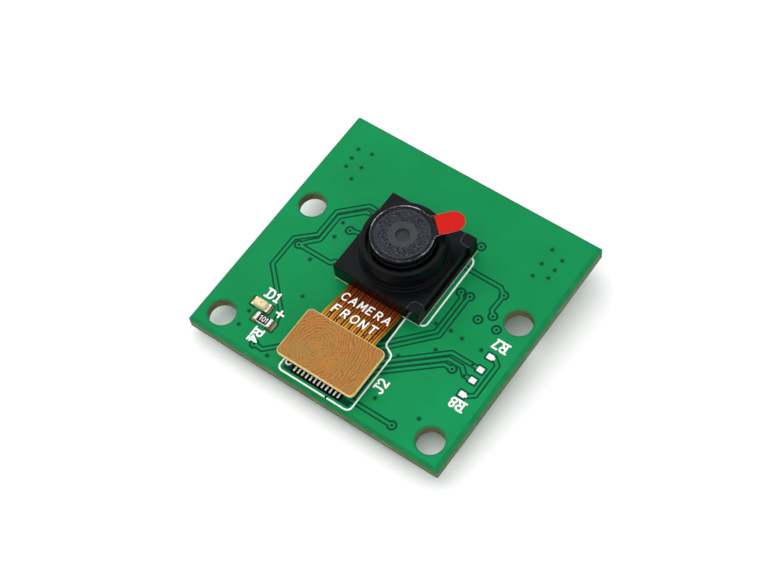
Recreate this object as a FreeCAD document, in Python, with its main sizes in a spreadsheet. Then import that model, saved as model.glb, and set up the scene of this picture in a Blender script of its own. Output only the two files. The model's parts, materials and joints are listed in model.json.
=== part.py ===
"""A bare camera board: a small circuit board that carries a screw-focus lens module on its
front, joined to it by a short flexible circuit and a board-to-board connector, and a ribbon
cable socket with a sliding latch on its back.

Sizes are in millimetres. The origin is the centre of the four mounting holes on the board's
back face. +Z points out of the lens, and +Y points out of the ribbon socket's mouth.
"""
import FreeCAD, Part
import math
import os
import re
import Sketcher
from FreeCAD import Placement, Rotation, Vector

SIZES = {
    # the circuit board and its four mounting holes
    "board_width": 25.0,
    "board_depth": 24.0,
    "board_thickness": 1.0,
    "board_corner": 0.15,
    "hole_spread_x": 21.0,
    "hole_spread_y": 12.5,
    "hole_diameter": 2.4,
    "hole_inset": 2.0,
    # the lens module: where it stands, and the layers under its holder
    "module_x": -0.3,
    "module_y": 5.75,
    "module_side": 8.5,
    "tape_side": 7.9,
    "tape_height": 0.1,
    "plate_height": 0.15,
    "flex_height": 0.1,
    "sensor_width": 5.6,
    "sensor_depth": 4.7,
    "sensor_height": 0.3,
    "filter_side": 6.0,
    "filter_height": 0.25,
    # the lens holder: heights are counted from its underside
    "base_height": 1.7,
    "holder_height": 3.85,
    "tower_foot_radius": 3.65,
    "tower_rim_radius": 3.5,
    "rim_bore_radius": 3.05,
    "rim_bore_floor": 2.95,
    "thread_radius": 2.78,
    "shelf_low": 1.0,
    "shelf_high": 1.35,
    "cavity_side": 6.9,
    "window_side": 4.6,
    "corner_pad_width": 1.1,
    "corner_pad_front": 0.95,
    "corner_pad_back": 1.1,
    "corner_pad_rise": 0.1,
    "corner_pad_corner": 0.45,
    "side_recess": 0.2,
    "side_recess_depth": 1.15,
    "holder_edge": 0.06,
    # the lens barrel and what it holds: heights are counted from the holder's underside
    "barrel_radius": 2.72,
    "barrel_low": 1.6,
    "barrel_high": 4.6,
    "barrel_chamfer": 0.07,
    "face_radius": 2.2,
    "face_drop": 0.06,
    "mouth_radius": 1.2,
    "pupil_radius": 0.58,
    "pupil_drop": 0.16,
    "front_seat_radius": 1.45,
    "front_seat_high": 4.25,
    "middle_seat_radius": 1.75,
    "middle_seat_high": 3.4,
    "rear_seat_radius": 2.1,
    "rear_seat_high": 2.8,
    "lens_play": 0.04,
    "front_lens_height": 0.8,
    "middle_lens_height": 0.5,
    "rear_lens_height": 0.6,
    "spacer_height": 0.12,
    "spacer_bore": 1.2,
    "retainer_height": 0.3,
    "retainer_bore": 1.6,
    "front_lens_curve": 4.5,
    "middle_lens_curve": 6.0,
    "rear_lens_curve": 7.0,
    # the protective film over the lens, with its pull tab
    "film_radius": 2.66,
    "film_height": 0.05,
    "film_neck_fillet": 0.3,
    "tab_width": 1.9,
    "tab_start": 2.85,
    "tab_reach": 5.2,
    "tab_height": 0.05,
    "tab_angle": 48.0,
    # the flexible circuit, from under the holder to the board-to-board connector
    "flex_x": -0.42,
    "neck_width": 5.45,
    "neck_fillet": 0.35,
    "flex_bend_radius": 3.0,
    "flex_bend_start": 1.15,
    "flex_bend_run": 3.3,
    "flex_end_inset": 0.1,
    "flex_stiffener_x": -0.25,
    "flex_stiffener_y": -4.73,
    "flex_stiffener_width": 7.7,
    "flex_stiffener_depth": 4.78,
    "flex_stiffener_height": 0.3,
    "flex_stiffener_corner": 0.45,
    # the board-to-board connector: heights are counted from the board's front face
    "mezzanine_x": -0.02,
    "mezzanine_y": -5.4,
    "mezzanine_height": 0.9,
    "mezzanine_pitch": 0.4,
    "mezzanine_ways": 12,
    "mezzanine_contact_width": 0.14,
    "mezzanine_contact_thickness": 0.1,
    "mezzanine_tail_reach": 1.9,
    "header_width": 5.8,
    "header_depth": 2.9,
    "header_height": 0.75,
    "header_cavity_width": 5.0,
    "header_cavity_depth": 2.1,
    "header_island_width": 4.2,
    "header_island_depth": 0.5,
    "header_contact_height": 0.6,
    "plug_width": 4.8,
    "plug_depth": 1.7,
    "plug_low": 0.2,
    "plug_hollow_width": 4.4,
    "plug_hollow_depth": 0.7,
    "plug_hollow_high": 0.78,
    "plug_tail_reach": 1.35,
    # chip parts: small, two-ended, with a metal cap on each end
    "pad_height": 0.04,
    "chip_length": 1.6,
    "chip_width": 0.8,
    "chip_cap_length": 0.3,
    "chip_cap_skin": 0.03,
    "resistor_height": 0.4,
    "overcoat_height": 0.04,
    "capacitor_height": 0.75,
    "led_board_height": 0.2,
    "led_cap_length": 0.26,
    "led_dome_length": 1.2,
    "led_dome_top": 0.95,
    "led_dome_height": 0.36,
    "led_dome_round": 0.14,
    "led_x": -8.1,
    "led_y": -3.92,
    "resistor_x": -7.03,
    "resistor_y": -5.02,
    "solder_pad_width": 0.62,
    "solder_pad_depth": 0.86,
    "solder_pad_offset": 0.78,
    # two places for chip parts that were left empty: bare solder pads
    "spare_pads_x": 10.3,
    "spare_pad_width": 0.56,
    "spare_pad_depth": 0.5,
    "spare_pad_one_y": 2.42,
    "spare_pad_two_y": 1.03,
    "spare_pad_three_y": -0.1,
    "spare_pad_four_y": -1.55,
    # the ribbon cable socket on the back: heights are counted away from the board's back face
    "socket_x": -0.15,
    "socket_y": 12.5,
    "socket_width": 18.6,
    "socket_depth": 3.8,
    "socket_height": 2.6,
    "ribbon_ways": 15,
    "ribbon_pitch": 1.0,
    "ribbon_room_width": 15.9,
    "ribbon_room_low": 0.6,
    "ribbon_room_high": 2.0,
    "ribbon_room_depth": 3.0,
    "ribbon_contact_width": 0.3,
    "ribbon_contact_thickness": 0.15,
    "ribbon_contact_low": 0.72,
    "ribbon_contact_reach": 1.3,
    "ribbon_contact_rear": 1.45,
    "ribbon_tail_reach": 2.6,
    "ribbon_tail_thickness": 0.12,
    "contact_slot_width": 0.36,
    "contact_slot_depth": 0.8,
    "contact_slot_height": 0.95,
    "latch_gap": 0.05,
    "latch_width": 20.8,
    "latch_bar_depth": 1.2,
    "latch_low": 0.1,
    "latch_high": 2.55,
    "latch_slot_low": 0.62,
    "latch_slot_high": 1.22,
    "latch_tongue_width": 15.2,
    "latch_tongue_reach": 2.55,
    "latch_tongue_low": 1.28,
    "latch_tongue_high": 1.85,
    "latch_arm_inside": 9.45,
    "latch_arm_width": 0.8,
    "latch_arm_reach": 1.55,
    "latch_arm_low": 0.8,
    "latch_arm_high": 2.2,
    "latch_edge": 0.12,
    "tab_foot_width": 0.95,
    "tab_foot_depth": 1.4,
    "tab_foot_y": -0.5,
    "tab_foot_height": 0.15,
    "tab_wall_height": 1.1,
    # small-outline transistor bodies with gull-wing leads
    "small_outline_length": 2.9,
    "small_outline_waist": 1.6,
    "small_outline_top": 1.4,
    "small_outline_low": 0.1,
    "small_outline_high": 1.1,
    "small_outline_waist_low": 0.45,
    "small_outline_waist_high": 0.7,
    "lead_pitch": 0.95,
    "lead_width": 0.4,
    "lead_thickness": 0.13,
    "lead_shoulder_high": 0.64,
    "lead_knee": 1.05,
    "lead_reach": 1.4,
    # the oscillator: a ceramic base under a metal lid
    "oscillator_width": 2.5,
    "oscillator_depth": 2.0,
    "oscillator_base_height": 0.45,
    "oscillator_lid_margin": 0.2,
    "oscillator_lid_height": 0.2,
    "oscillator_lid_corner": 0.25,
}

# A quarter turn on the front face, and the two ways that a part lies on the back face.
UPRIGHT = Rotation(Vector(0, 0, 1), 90)
BACK = Rotation(Vector(0, 1, 0), 180)
BACK_UPRIGHT = BACK.multiply(UPRIGHT)

FRONT_FACE = "board_thickness"
HOLDER_FLOOR = "board_thickness + tape_height + plate_height + flex_height"
FLEX_LOW = "board_thickness + tape_height + plate_height"
CHIP_FLOOR = "board_thickness + pad_height"

REGULATOR_PLACES = (("-6.3", "-4.6"), ("0.2", "-5.3"), ("6.0", "-4.6"))
CAPACITOR_PLACES = (
    ("-3.0", "-4.6", BACK_UPRIGHT),
    ("3.2", "-5.0", BACK_UPRIGHT),
    ("1.4", "0.6", BACK),
    ("7.6", "1.4", BACK_UPRIGHT),
    ("-2.4", "7.2", BACK),
)
BACK_RESISTOR_PLACES = (("-5.8", "7.2", BACK), ("-1.2", "3.6", BACK_UPRIGHT))

doc = FreeCAD.newDocument("camera_board")
sheet = doc.addObject("Spreadsheet::Sheet", "Sizes")
parts = []


def fill_sheet():
    """Write every driving dimension into the sheet, each under its own alias."""
    for row, (alias, value) in enumerate(SIZES.items(), start=1):
        sheet.set("A%d" % row, alias)
        sheet.set("B%d" % row, str(value))
        sheet.setAlias("B%d" % row, alias)
    doc.recompute()


def bind(thing, path, text):
    """Bind a property to an expression in which each word is an alias of the sheet."""
    thing.setExpression(path, re.sub(r"[a-z_]+", r"Sizes.\g<0>", text))


def size(alias):
    """Read one driving dimension from the sheet."""
    return getattr(sheet, alias)


def place(thing, x, y, z, turn=None):
    """Put a part at a place, turned as a whole."""
    if turn is not None:
        thing.Placement = Placement(Vector(), turn)
    for axis, text in zip("xyz", (x, y, z)):
        bind(thing, ".Placement.Base." + axis, text)


def new_part(label, x, y, z, turn=None):
    """Start a part as a body with its own origin."""
    body = doc.addObject("PartDesign::Body", label)
    body.Label = label
    place(body, x, y, z, turn)
    parts.append(body)
    return body


def datum(body, role):
    """Find one of a body's origin planes or axes by its role."""
    return next(item for item in body.Origin.OriginFeatures if item.Role == role)


def new_sketch(body, role="XY_Plane", lift="0"):
    """Attach an empty sketch to one of the body's planes, lifted along its normal."""
    sketch = body.newObject("Sketcher::SketchObject", "Sketch")
    sketch.AttachmentSupport = [(datum(body, role), "")]
    sketch.MapMode = "FlatFace"
    bind(sketch, ".AttachmentOffset.Base.z", lift)
    return sketch


def fix_point(sketch, item, point, x, y):
    """Hold a point of a sketch at expressions for its two distances from the origin."""
    for kind, text in (("DistanceX", x), ("DistanceY", y)):
        at = sketch.getPoint(item, point)
        value = at.x if kind == "DistanceX" else at.y
        index = sketch.addConstraint(Sketcher.Constraint(kind, -1, 1, item, point, value))
        bind(sketch, "Constraints[%d]" % index, text)


def outline(sketch, corners):
    """Draw a closed polygon whose corners are pairs of expressions."""
    first = sketch.GeometryCount
    count = len(corners)
    step = 2 * math.pi / count
    ring = [Vector(2 + math.cos(step * turn), 2 + math.sin(step * turn)) for turn in range(count)]
    for here, there in zip(ring, ring[1:] + ring[:1]):
        sketch.addGeometry(Part.LineSegment(here, there))
    for turn in range(count):
        following = first + (turn + 1) % count
        sketch.addConstraint(Sketcher.Constraint("Coincident", first + turn, 2, following, 1))
    for turn, (x, y) in enumerate(corners):
        fix_point(sketch, first + turn, 1, x, y)


def rectangle(sketch, width, depth, x="0", y="0"):
    """Draw a rectangle about a centre."""
    left, right = "(%s) - (%s) / 2" % (x, width), "(%s) + (%s) / 2" % (x, width)
    front, back = "(%s) - (%s) / 2" % (y, depth), "(%s) + (%s) / 2" % (y, depth)
    outline(sketch, [(left, front), (right, front), (right, back), (left, back)])


def circle(sketch, radius, x="0", y="0"):
    """Draw a circle about a centre."""
    item = sketch.addGeometry(Part.Circle(Vector(1, 1), Vector(0, 0, 1), 1))
    index = sketch.addConstraint(Sketcher.Constraint("Radius", item, 1))
    bind(sketch, "Constraints[%d]" % index, radius)
    fix_point(sketch, item, 3, x, y)


def pad(body, sketch, height, backward=False):
    """Raise a sketch into material."""
    feature = body.newObject("PartDesign::Pad", "Pad")
    feature.Profile = sketch
    feature.Reversed = backward
    bind(feature, "Length", height)
    return feature


def pocket(body, sketch, depth, backward=False):
    """Cut a sketch into material, against the sketch's normal unless it is backward."""
    feature = body.newObject("PartDesign::Pocket", "Pocket")
    feature.Profile = sketch
    feature.Reversed = backward
    bind(feature, "Length", depth)
    return feature


def spin(body, sketch, kind="PartDesign::Revolution"):
    """Turn a sketch about its own upright axis, as material or as a groove."""
    feature = body.newObject(kind, "Spin")
    feature.Profile = sketch
    feature.ReferenceAxis = (sketch, ["V_Axis"])
    return feature


def repeat(body, feature, pitch, count):
    """Repeat a feature along +X."""
    pattern = body.newObject("PartDesign::LinearPattern", "Row")
    pattern.Originals = [feature]
    pattern.Direction = (datum(body, "X_Axis"), [""])
    bind(pattern, "Length", "(%s) * ((%s) - 1)" % (pitch, count))
    bind(pattern, "Occurrences", count)
    body.Tip = pattern
    return pattern


def round_edges(body, feature, radius, chosen):
    """Round the feature's edges that a test chooses by their middle and direction."""
    doc.recompute()
    names = []
    for number, edge in enumerate(feature.Shape.Edges, start=1):
        middle = edge.valueAt((edge.FirstParameter + edge.LastParameter) / 2)
        span = edge.Vertexes[-1].Point - edge.Vertexes[0].Point
        if chosen(middle, span):
            names.append("Edge%d" % number)
    made = body.newObject("PartDesign::Fillet", "Edges")
    made.Base = (feature, names)
    bind(made, "Radius", radius)


def is_upright(span):
    """Tell whether an edge runs straight along Z."""
    return abs(span.z) > 0.01 and math.hypot(span.x, span.y) < 0.001


def block(label, width, depth, height, x, y, z, turn=None):
    """Make a plain rectangular part that stands on its own origin."""
    body = new_part(label, x, y, z, turn)
    sketch = new_sketch(body)
    rectangle(sketch, width, depth)
    pad(body, sketch, height)
    return body


def circuit_board():
    """The board: rounded corners and four mounting holes."""
    body = new_part("circuit_board", "0", "0", "0")
    plate = new_sketch(body)
    middle = "board_depth / 2 - hole_spread_y / 2 - hole_inset"
    rectangle(plate, "board_width", "board_depth", "0", middle)
    slab = pad(body, plate, "board_thickness")
    round_edges(body, slab, "board_corner", lambda middle, span: is_upright(span))
    doc.recompute()
    holes = new_sketch(body)
    for side_x in ("-", ""):
        for side_y in ("-", ""):
            circle(holes, "hole_diameter / 2", side_x + "hole_spread_x / 2",
                   side_y + "hole_spread_y / 2")
    pocket(body, holes, "board_thickness", backward=True)


def module_layers():
    """What lies under the lens holder: the tape, the stiffening plate, the image sensor and,
    glued under the holder's shelf, the infrared filter."""
    at = ("module_x", "module_y")
    block("module_tape", "tape_side", "tape_side", "tape_height", *at, FRONT_FACE)
    block("module_plate", "module_side", "module_side", "plate_height", *at,
          "board_thickness + tape_height")
    block("image_sensor", "sensor_width", "sensor_depth", "sensor_height", *at, HOLDER_FLOOR)
    block("infrared_filter", "filter_side", "filter_side", "filter_height", *at,
          HOLDER_FLOOR + " + shelf_low - filter_height")


def lens_holder():
    """The holder: a square base with a round tower, bored for the lens barrel, hollow below
    for the sensor, with two raised corner pads and a shallow recess between them."""
    body = new_part("lens_holder", "module_x", "module_y", HOLDER_FLOOR)
    square = new_sketch(body)
    rectangle(square, "module_side", "module_side")
    base = pad(body, square, "base_height")
    top = size("base_height") - 0.01
    round_edges(body, base, "holder_edge",
                lambda middle, span: is_upright(span) or middle.z > top)
    doc.recompute()

    tower = new_sketch(body, "XZ_Plane")
    outline(tower, [
        ("0", "base_height / 2"),
        ("tower_foot_radius", "base_height / 2"),
        ("tower_foot_radius", "base_height"),
        ("tower_rim_radius", "holder_height - holder_edge"),
        ("tower_rim_radius - holder_edge", "holder_height"),
        ("0", "holder_height"),
    ])
    spin(body, tower)

    bore = new_sketch(body, "XZ_Plane")
    outline(bore, [
        ("0", "shelf_high"),
        ("thread_radius", "shelf_high"),
        ("thread_radius", "rim_bore_floor"),
        ("rim_bore_radius", "rim_bore_floor"),
        ("rim_bore_radius", "holder_height - holder_edge"),
        ("rim_bore_radius + holder_edge", "holder_height"),
        ("rim_bore_radius + holder_edge", "holder_height + 1"),
        ("0", "holder_height + 1"),
    ])
    spin(body, bore, "PartDesign::Groove")

    pads = new_sketch(body, lift="base_height - holder_edge")
    side = "module_side / 2 - corner_pad_width / 2"
    rectangle(pads, "corner_pad_width", "corner_pad_front", side,
              "corner_pad_front / 2 - module_side / 2")
    rectangle(pads, "corner_pad_width", "corner_pad_back", side,
              "module_side / 2 - corner_pad_back / 2")
    raised = pad(body, pads, "corner_pad_rise + holder_edge")
    inner_x = size("module_side") / 2 - size("corner_pad_width")
    inner_y = size("module_side") / 2 - 0.5
    round_edges(body, raised, "corner_pad_corner",
                lambda middle, span: is_upright(span) and middle.z > size("base_height")
                and abs(middle.x - inner_x) < 0.01 and abs(middle.y) < inner_y)
    doc.recompute()

    recess = new_sketch(body, lift="base_height + corner_pad_rise")
    rectangle(recess, "side_recess", "module_side - corner_pad_front - corner_pad_back",
              "module_side / 2 - side_recess / 2", "corner_pad_front / 2 - corner_pad_back / 2")
    pocket(body, recess, "side_recess_depth + corner_pad_rise")

    cavity = new_sketch(body)
    rectangle(cavity, "cavity_side", "cavity_side")
    pocket(body, cavity, "shelf_low", backward=True)
    window = new_sketch(body)
    rectangle(window, "window_side", "window_side")
    pocket(body, window, "shelf_high + 0.1", backward=True)


def lens_barrel():
    """The barrel: screwed into the holder, with a dished face, a conical mouth and three
    stepped seats for the lenses, wider towards the sensor."""
    body = new_part("lens_barrel", "module_x", "module_y", HOLDER_FLOOR)
    half = new_sketch(body, "XZ_Plane")
    outline(half, [
        ("rear_seat_radius", "barrel_low"),
        ("barrel_radius", "barrel_low"),
        ("barrel_radius", "barrel_high - barrel_chamfer"),
        ("barrel_radius - barrel_chamfer", "barrel_high"),
        ("face_radius", "barrel_high"),
        ("face_radius - face_drop", "barrel_high - face_drop"),
        ("mouth_radius", "barrel_high - face_drop"),
        ("pupil_radius", "barrel_high - pupil_drop"),
        ("pupil_radius", "front_seat_high"),
        ("front_seat_radius", "front_seat_high"),
        ("front_seat_radius", "middle_seat_high"),
        ("middle_seat_radius", "middle_seat_high"),
        ("middle_seat_radius", "rear_seat_high"),
        ("rear_seat_radius", "rear_seat_high"),
    ])
    spin(body, half)


def lens(label, seat_radius, top, height, curve):
    """One lens: a disc whose two faces are caps of equal spheres."""
    disc = doc.addObject("Part::Cylinder", "Disc")
    bind(disc, "Radius", seat_radius + " - lens_play")
    bind(disc, "Height", height)
    upper = doc.addObject("Part::Sphere", "Upper")
    bind(upper, "Radius", curve)
    bind(upper, ".Placement.Base.z", "%s - %s" % (height, curve))
    lower = doc.addObject("Part::Sphere", "Lower")
    bind(lower, "Radius", curve)
    bind(lower, ".Placement.Base.z", curve)
    made = doc.addObject("Part::MultiCommon", label)
    made.Shapes = [disc, upper, lower]
    made.Label = label
    place(made, "module_x", "module_y", "%s + %s - %s" % (HOLDER_FLOOR, top, height))
    parts.append(made)


def ring(label, bore, low, height):
    """A flat ring in the barrel's widest seat."""
    body = new_part(label, "module_x", "module_y", "%s + %s" % (HOLDER_FLOOR, low))
    sketch = new_sketch(body)
    circle(sketch, "rear_seat_radius - lens_play")
    circle(sketch, bore)
    pad(body, sketch, height)


def lens_stack():
    """The three lenses, the spacer ring between the last two, and the ring that holds them."""
    lens("front_lens", "front_seat_radius", "front_seat_high - lens_play",
         "front_lens_height", "front_lens_curve")
    lens("middle_lens", "middle_seat_radius", "middle_seat_high - lens_play",
         "middle_lens_height", "middle_lens_curve")
    spacer_low = "rear_seat_high - lens_play - spacer_height"
    ring("lens_spacer", "spacer_bore", spacer_low, "spacer_height")
    lens("rear_lens", "rear_seat_radius", spacer_low + " - lens_play",
         "rear_lens_height", "rear_lens_curve")
    ring("lens_retainer", "retainer_bore", "barrel_low + lens_play", "retainer_height")


def film_strip(name, start, height):
    """A flat strip with a round end that reaches from the lens axis's side out to the tab's tip."""
    strip = doc.addObject("Part::Box", name + "Strip")
    bind(strip, "Length", "tab_reach - tab_width / 2 - (%s)" % start)
    bind(strip, "Width", "tab_width")
    bind(strip, "Height", height)
    bind(strip, ".Placement.Base.x", start)
    bind(strip, ".Placement.Base.y", "-tab_width / 2")
    end = doc.addObject("Part::Cylinder", name + "End")
    bind(end, "Radius", "tab_width / 2")
    bind(end, "Height", height)
    bind(end, ".Placement.Base.x", "tab_reach - tab_width / 2")
    return [strip, end]


def lens_film():
    """The clear film that protects the lens, with a red tab bonded on its tongue."""
    film_floor = HOLDER_FLOOR + " + barrel_high"
    turned = Rotation(Vector(0, 0, 1), size("tab_angle"))
    disc = doc.addObject("Part::Cylinder", "FilmDisc")
    bind(disc, "Radius", "film_radius")
    bind(disc, "Height", "film_height")
    joined = doc.addObject("Part::MultiFuse", "FilmJoined")
    joined.Shapes = [disc] + film_strip("Film", "0", "film_height")
    joined.Refine = True
    doc.recompute()
    neck_x = math.sqrt(size("film_radius") ** 2 - (size("tab_width") / 2) ** 2)
    necks = []
    for number, edge in enumerate(joined.Shape.Edges, start=1):
        middle = edge.valueAt((edge.FirstParameter + edge.LastParameter) / 2)
        span = edge.Vertexes[-1].Point - edge.Vertexes[0].Point
        if is_upright(span) and abs(middle.x - neck_x) < 0.01:
            necks.append((number, size("film_neck_fillet"), size("film_neck_fillet")))
    film = doc.addObject("Part::Fillet", "lens_film")
    film.Base = joined
    film.Edges = necks
    tab = doc.addObject("Part::MultiFuse", "film_pull_tab")
    tab.Shapes = film_strip("Tab", "tab_start", "tab_height")
    tab.Refine = True
    for made, label, floor in ((film, "lens_film", film_floor),
                               (tab, "film_pull_tab", film_floor + " + film_height")):
        made.Label = label
        place(made, "module_x", "module_y", floor, turned)
        parts.append(made)


def flex_path():
    """The line that the flexible circuit's middle follows: level under the holder, down the
    board in an easy S of two equal arcs with a straight between them, and level again."""
    low = size("board_thickness") + size("tape_height") + size("plate_height")
    start_z = low + size("flex_height") / 2
    rise = size("board_thickness") + size("mezzanine_height") - low
    run, radius = size("flex_bend_run"), size("flex_bend_radius")
    straight = math.sqrt(run ** 2 + rise ** 2 - 4 * radius * rise)
    half_turn = math.atan((run - straight) / (4 * radius - rise))
    start_y = size("flex_bend_start")

    def on_arc(angle):
        return Vector(0, -radius * math.sin(angle), radius * (1 - math.cos(angle)))

    begin = Vector(0, start_y, start_z)
    finish = Vector(0, start_y - run, start_z + rise)
    back_edge = Vector(0, size("module_y") + size("module_side") / 2, start_z)
    front_edge = Vector(0, size("flex_stiffener_y") - size("flex_stiffener_depth") / 2, finish.z)
    first_end = begin + on_arc(2 * half_turn)
    second_start = finish - on_arc(2 * half_turn)
    return Part.Wire([
        Part.LineSegment(back_edge, begin).toShape(),
        Part.Arc(begin, begin + on_arc(half_turn), first_end).toShape(),
        Part.LineSegment(first_end, second_start).toShape(),
        Part.Arc(second_start, finish - on_arc(half_turn), finish).toShape(),
        Part.LineSegment(finish, front_edge).toShape(),
    ])


def flat_plan(width, depth, x, y):
    """A tall block over a rectangle of the plan, to cut the flexible circuit's outline with."""
    return Part.makeBox(width, depth, size("holder_height"), Vector(x - width / 2, y - depth / 2, 0))


def flex_circuit():
    """The flexible circuit in one piece: a square under the holder, a narrower neck, and a
    wide end under the stiffener. It follows a bent path, so its shape is made directly."""
    path = flex_path()
    back = path.Vertexes[0].Point
    widest = size("board_width")
    half = size("flex_height") / 2
    section = Part.makePolygon([
        Vector(-widest / 2, back.y, back.z - half),
        Vector(widest / 2, back.y, back.z - half),
        Vector(widest / 2, back.y, back.z + half),
        Vector(-widest / 2, back.y, back.z + half),
        Vector(-widest / 2, back.y, back.z - half),
    ])
    sheet_shape = path.makePipeShell([section], True, True)

    module_side, inset = size("module_side"), size("flex_end_inset")
    end_x, end_y = size("flex_stiffener_x"), size("flex_stiffener_y")
    end_width = size("flex_stiffener_width") - 2 * inset
    end_depth = size("flex_stiffener_depth") - 2 * inset
    neck_depth = size("module_y") - end_y
    neck = flat_plan(size("neck_width"), neck_depth, size("flex_x"), (size("module_y") + end_y) / 2)
    wide_end = flat_plan(end_width, end_depth, end_x, end_y)
    front = neck.fuse(wide_end).removeSplitter()
    shoulder_y = end_y + end_depth / 2
    shoulders = [
        edge for edge in front.Edges
        if is_upright(edge.Vertexes[-1].Point - edge.Vertexes[0].Point)
        and abs(edge.CenterOfMass.y - shoulder_y) < 0.001
        and abs(abs(edge.CenterOfMass.x - size("flex_x")) - size("neck_width") / 2) < 0.001
    ]
    front = front.makeFillet(size("neck_fillet"), shoulders)
    square = flat_plan(module_side, module_side, size("module_x"), size("module_y"))
    plan = front.fuse(square).removeSplitter()

    made = doc.addObject("Part::Feature", "flex_circuit")
    made.Label = "flex_circuit"
    made.Shape = sheet_shape.common(plan).removeSplitter()
    parts.append(made)


def flex_stiffener():
    """The stiffener over the plug, with rounded corners."""
    body = new_part("flex_stiffener", "flex_stiffener_x", "flex_stiffener_y",
                    FRONT_FACE + " + mezzanine_height + flex_height")
    plate = new_sketch(body)
    rectangle(plate, "flex_stiffener_width", "flex_stiffener_depth")
    slab = pad(body, plate, "flex_stiffener_height")
    round_edges(body, slab, "flex_stiffener_corner", lambda middle, span: is_upright(span))


def mezzanine_header():
    """The connector half on the board: a tray with a middle island and a slot in its floor
    for each contact, and its two rows of contacts."""
    at = ("mezzanine_x", "mezzanine_y", FRONT_FACE)
    floor = "mezzanine_contact_thickness"
    body = block("header_housing", "header_width", "header_depth", "header_height", *at)
    tray = new_sketch(body, lift="header_height")
    rectangle(tray, "header_cavity_width", "header_cavity_depth")
    rectangle(tray, "header_island_width", "header_island_depth")
    pocket(body, tray, "header_height - " + floor)
    slots = new_sketch(body)
    slot_x = "-mezzanine_pitch * (mezzanine_ways - 1) / 2"
    inside = "header_cavity_depth / 2 - mezzanine_contact_thickness"
    slot_depth = "header_depth / 2 - (%s)" % inside
    slot_y = "(header_depth / 2 + %s) / 2" % inside
    for side in ("-", ""):
        rectangle(slots, "mezzanine_contact_width", slot_depth, slot_x, "%s(%s)" % (side, slot_y))
    slot = pocket(body, slots, floor, backward=True)
    repeat(body, slot, "mezzanine_pitch", "mezzanine_ways")

    contacts = new_part("header_contacts", *at)
    profile = new_sketch(contacts, "YZ_Plane", slot_x + " - mezzanine_contact_width / 2")
    for side in ("-", ""):
        outline(profile, [
            ("%smezzanine_tail_reach" % side, "0"),
            ("%smezzanine_tail_reach" % side, floor),
            ("%sheader_cavity_depth / 2" % side, floor),
            ("%sheader_cavity_depth / 2" % side, "header_contact_height"),
            ("%s(%s)" % (side, inside), "header_contact_height"),
            ("%s(%s)" % (side, inside), "0"),
        ])
    row = pad(contacts, profile, "mezzanine_contact_width")
    repeat(contacts, row, "mezzanine_pitch", "mezzanine_ways")


def mezzanine_plug():
    """The connector half under the flexible circuit: a hollow block with contacts on its
    long sides, soldered to the flexible circuit by their tails."""
    body = block("plug_housing", "plug_width", "plug_depth", "mezzanine_height - plug_low",
                 "mezzanine_x", "mezzanine_y", FRONT_FACE + " + plug_low")
    hollow = new_sketch(body)
    rectangle(hollow, "plug_hollow_width", "plug_hollow_depth")
    pocket(body, hollow, "plug_hollow_high - plug_low", backward=True)

    contacts = new_part("plug_contacts", "mezzanine_x", "mezzanine_y", FRONT_FACE)
    first_x = "-mezzanine_pitch * (mezzanine_ways - 1) / 2 - mezzanine_contact_width / 2"
    profile = new_sketch(contacts, "YZ_Plane", first_x)
    outer = "plug_depth / 2 + mezzanine_contact_thickness"
    for side in ("-", ""):
        outline(profile, [
            ("%splug_depth / 2" % side, "plug_low"),
            ("%s(%s)" % (side, outer), "plug_low"),
            ("%s(%s)" % (side, outer), "mezzanine_height - mezzanine_contact_thickness"),
            ("%splug_tail_reach" % side, "mezzanine_height - mezzanine_contact_thickness"),
            ("%splug_tail_reach" % side, "mezzanine_height"),
            ("%splug_depth / 2" % side, "mezzanine_height"),
        ])
    row = pad(contacts, profile, "mezzanine_contact_width")
    repeat(contacts, row, "mezzanine_pitch", "mezzanine_ways")


def end_caps(label, cap_length, height, x, y, z, turn=None):
    """The two metal caps on a chip part's ends: they wrap its sides, top and end face."""
    body = new_part(label, x, y, z, turn)
    ends = new_sketch(body)
    for side in ("-", ""):
        rectangle(ends, cap_length, "chip_width", "%s(chip_length / 2 - %s / 2)" % (side, cap_length))
    pad(body, ends, height)
    core = new_sketch(body)
    rectangle(core, "chip_length - 2 * chip_cap_skin", "chip_width - 2 * chip_cap_skin")
    pocket(body, core, height + " - chip_cap_skin", backward=True)


def chip_core(label, height, x, y, z, turn=None):
    """A chip part's ceramic core, which fills its end caps."""
    return block(label, "chip_length - 2 * chip_cap_skin", "chip_width - 2 * chip_cap_skin",
                 height + " - chip_cap_skin", x, y, z, turn)


def above(floor, rise, turn):
    """The height of something that lies on a part, which is downwards on the back face."""
    return "%s - (%s)" % (floor, rise) if turn in (BACK, BACK_UPRIGHT) else "%s + %s" % (floor, rise)


def resistor(name, x, y, z, turn=None):
    """A chip resistor: its ceramic core, its black overcoat and its end caps."""
    chip_core(name + "_core", "resistor_height", x, y, z, turn)
    coat_floor = above(z, "resistor_height - chip_cap_skin", turn)
    block(name + "_overcoat", "chip_length - 2 * chip_cap_length", "chip_width - 2 * chip_cap_skin",
          "overcoat_height", x, y, coat_floor, turn)
    end_caps(name + "_caps", "chip_cap_length", "resistor_height", x, y, z, turn)


def capacitor(name, x, y, z, turn):
    """A chip capacitor: its ceramic core and its end caps."""
    chip_core(name + "_core", "capacitor_height", x, y, z, turn)
    end_caps(name + "_caps", "chip_cap_length", "capacitor_height", x, y, z, turn)


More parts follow.
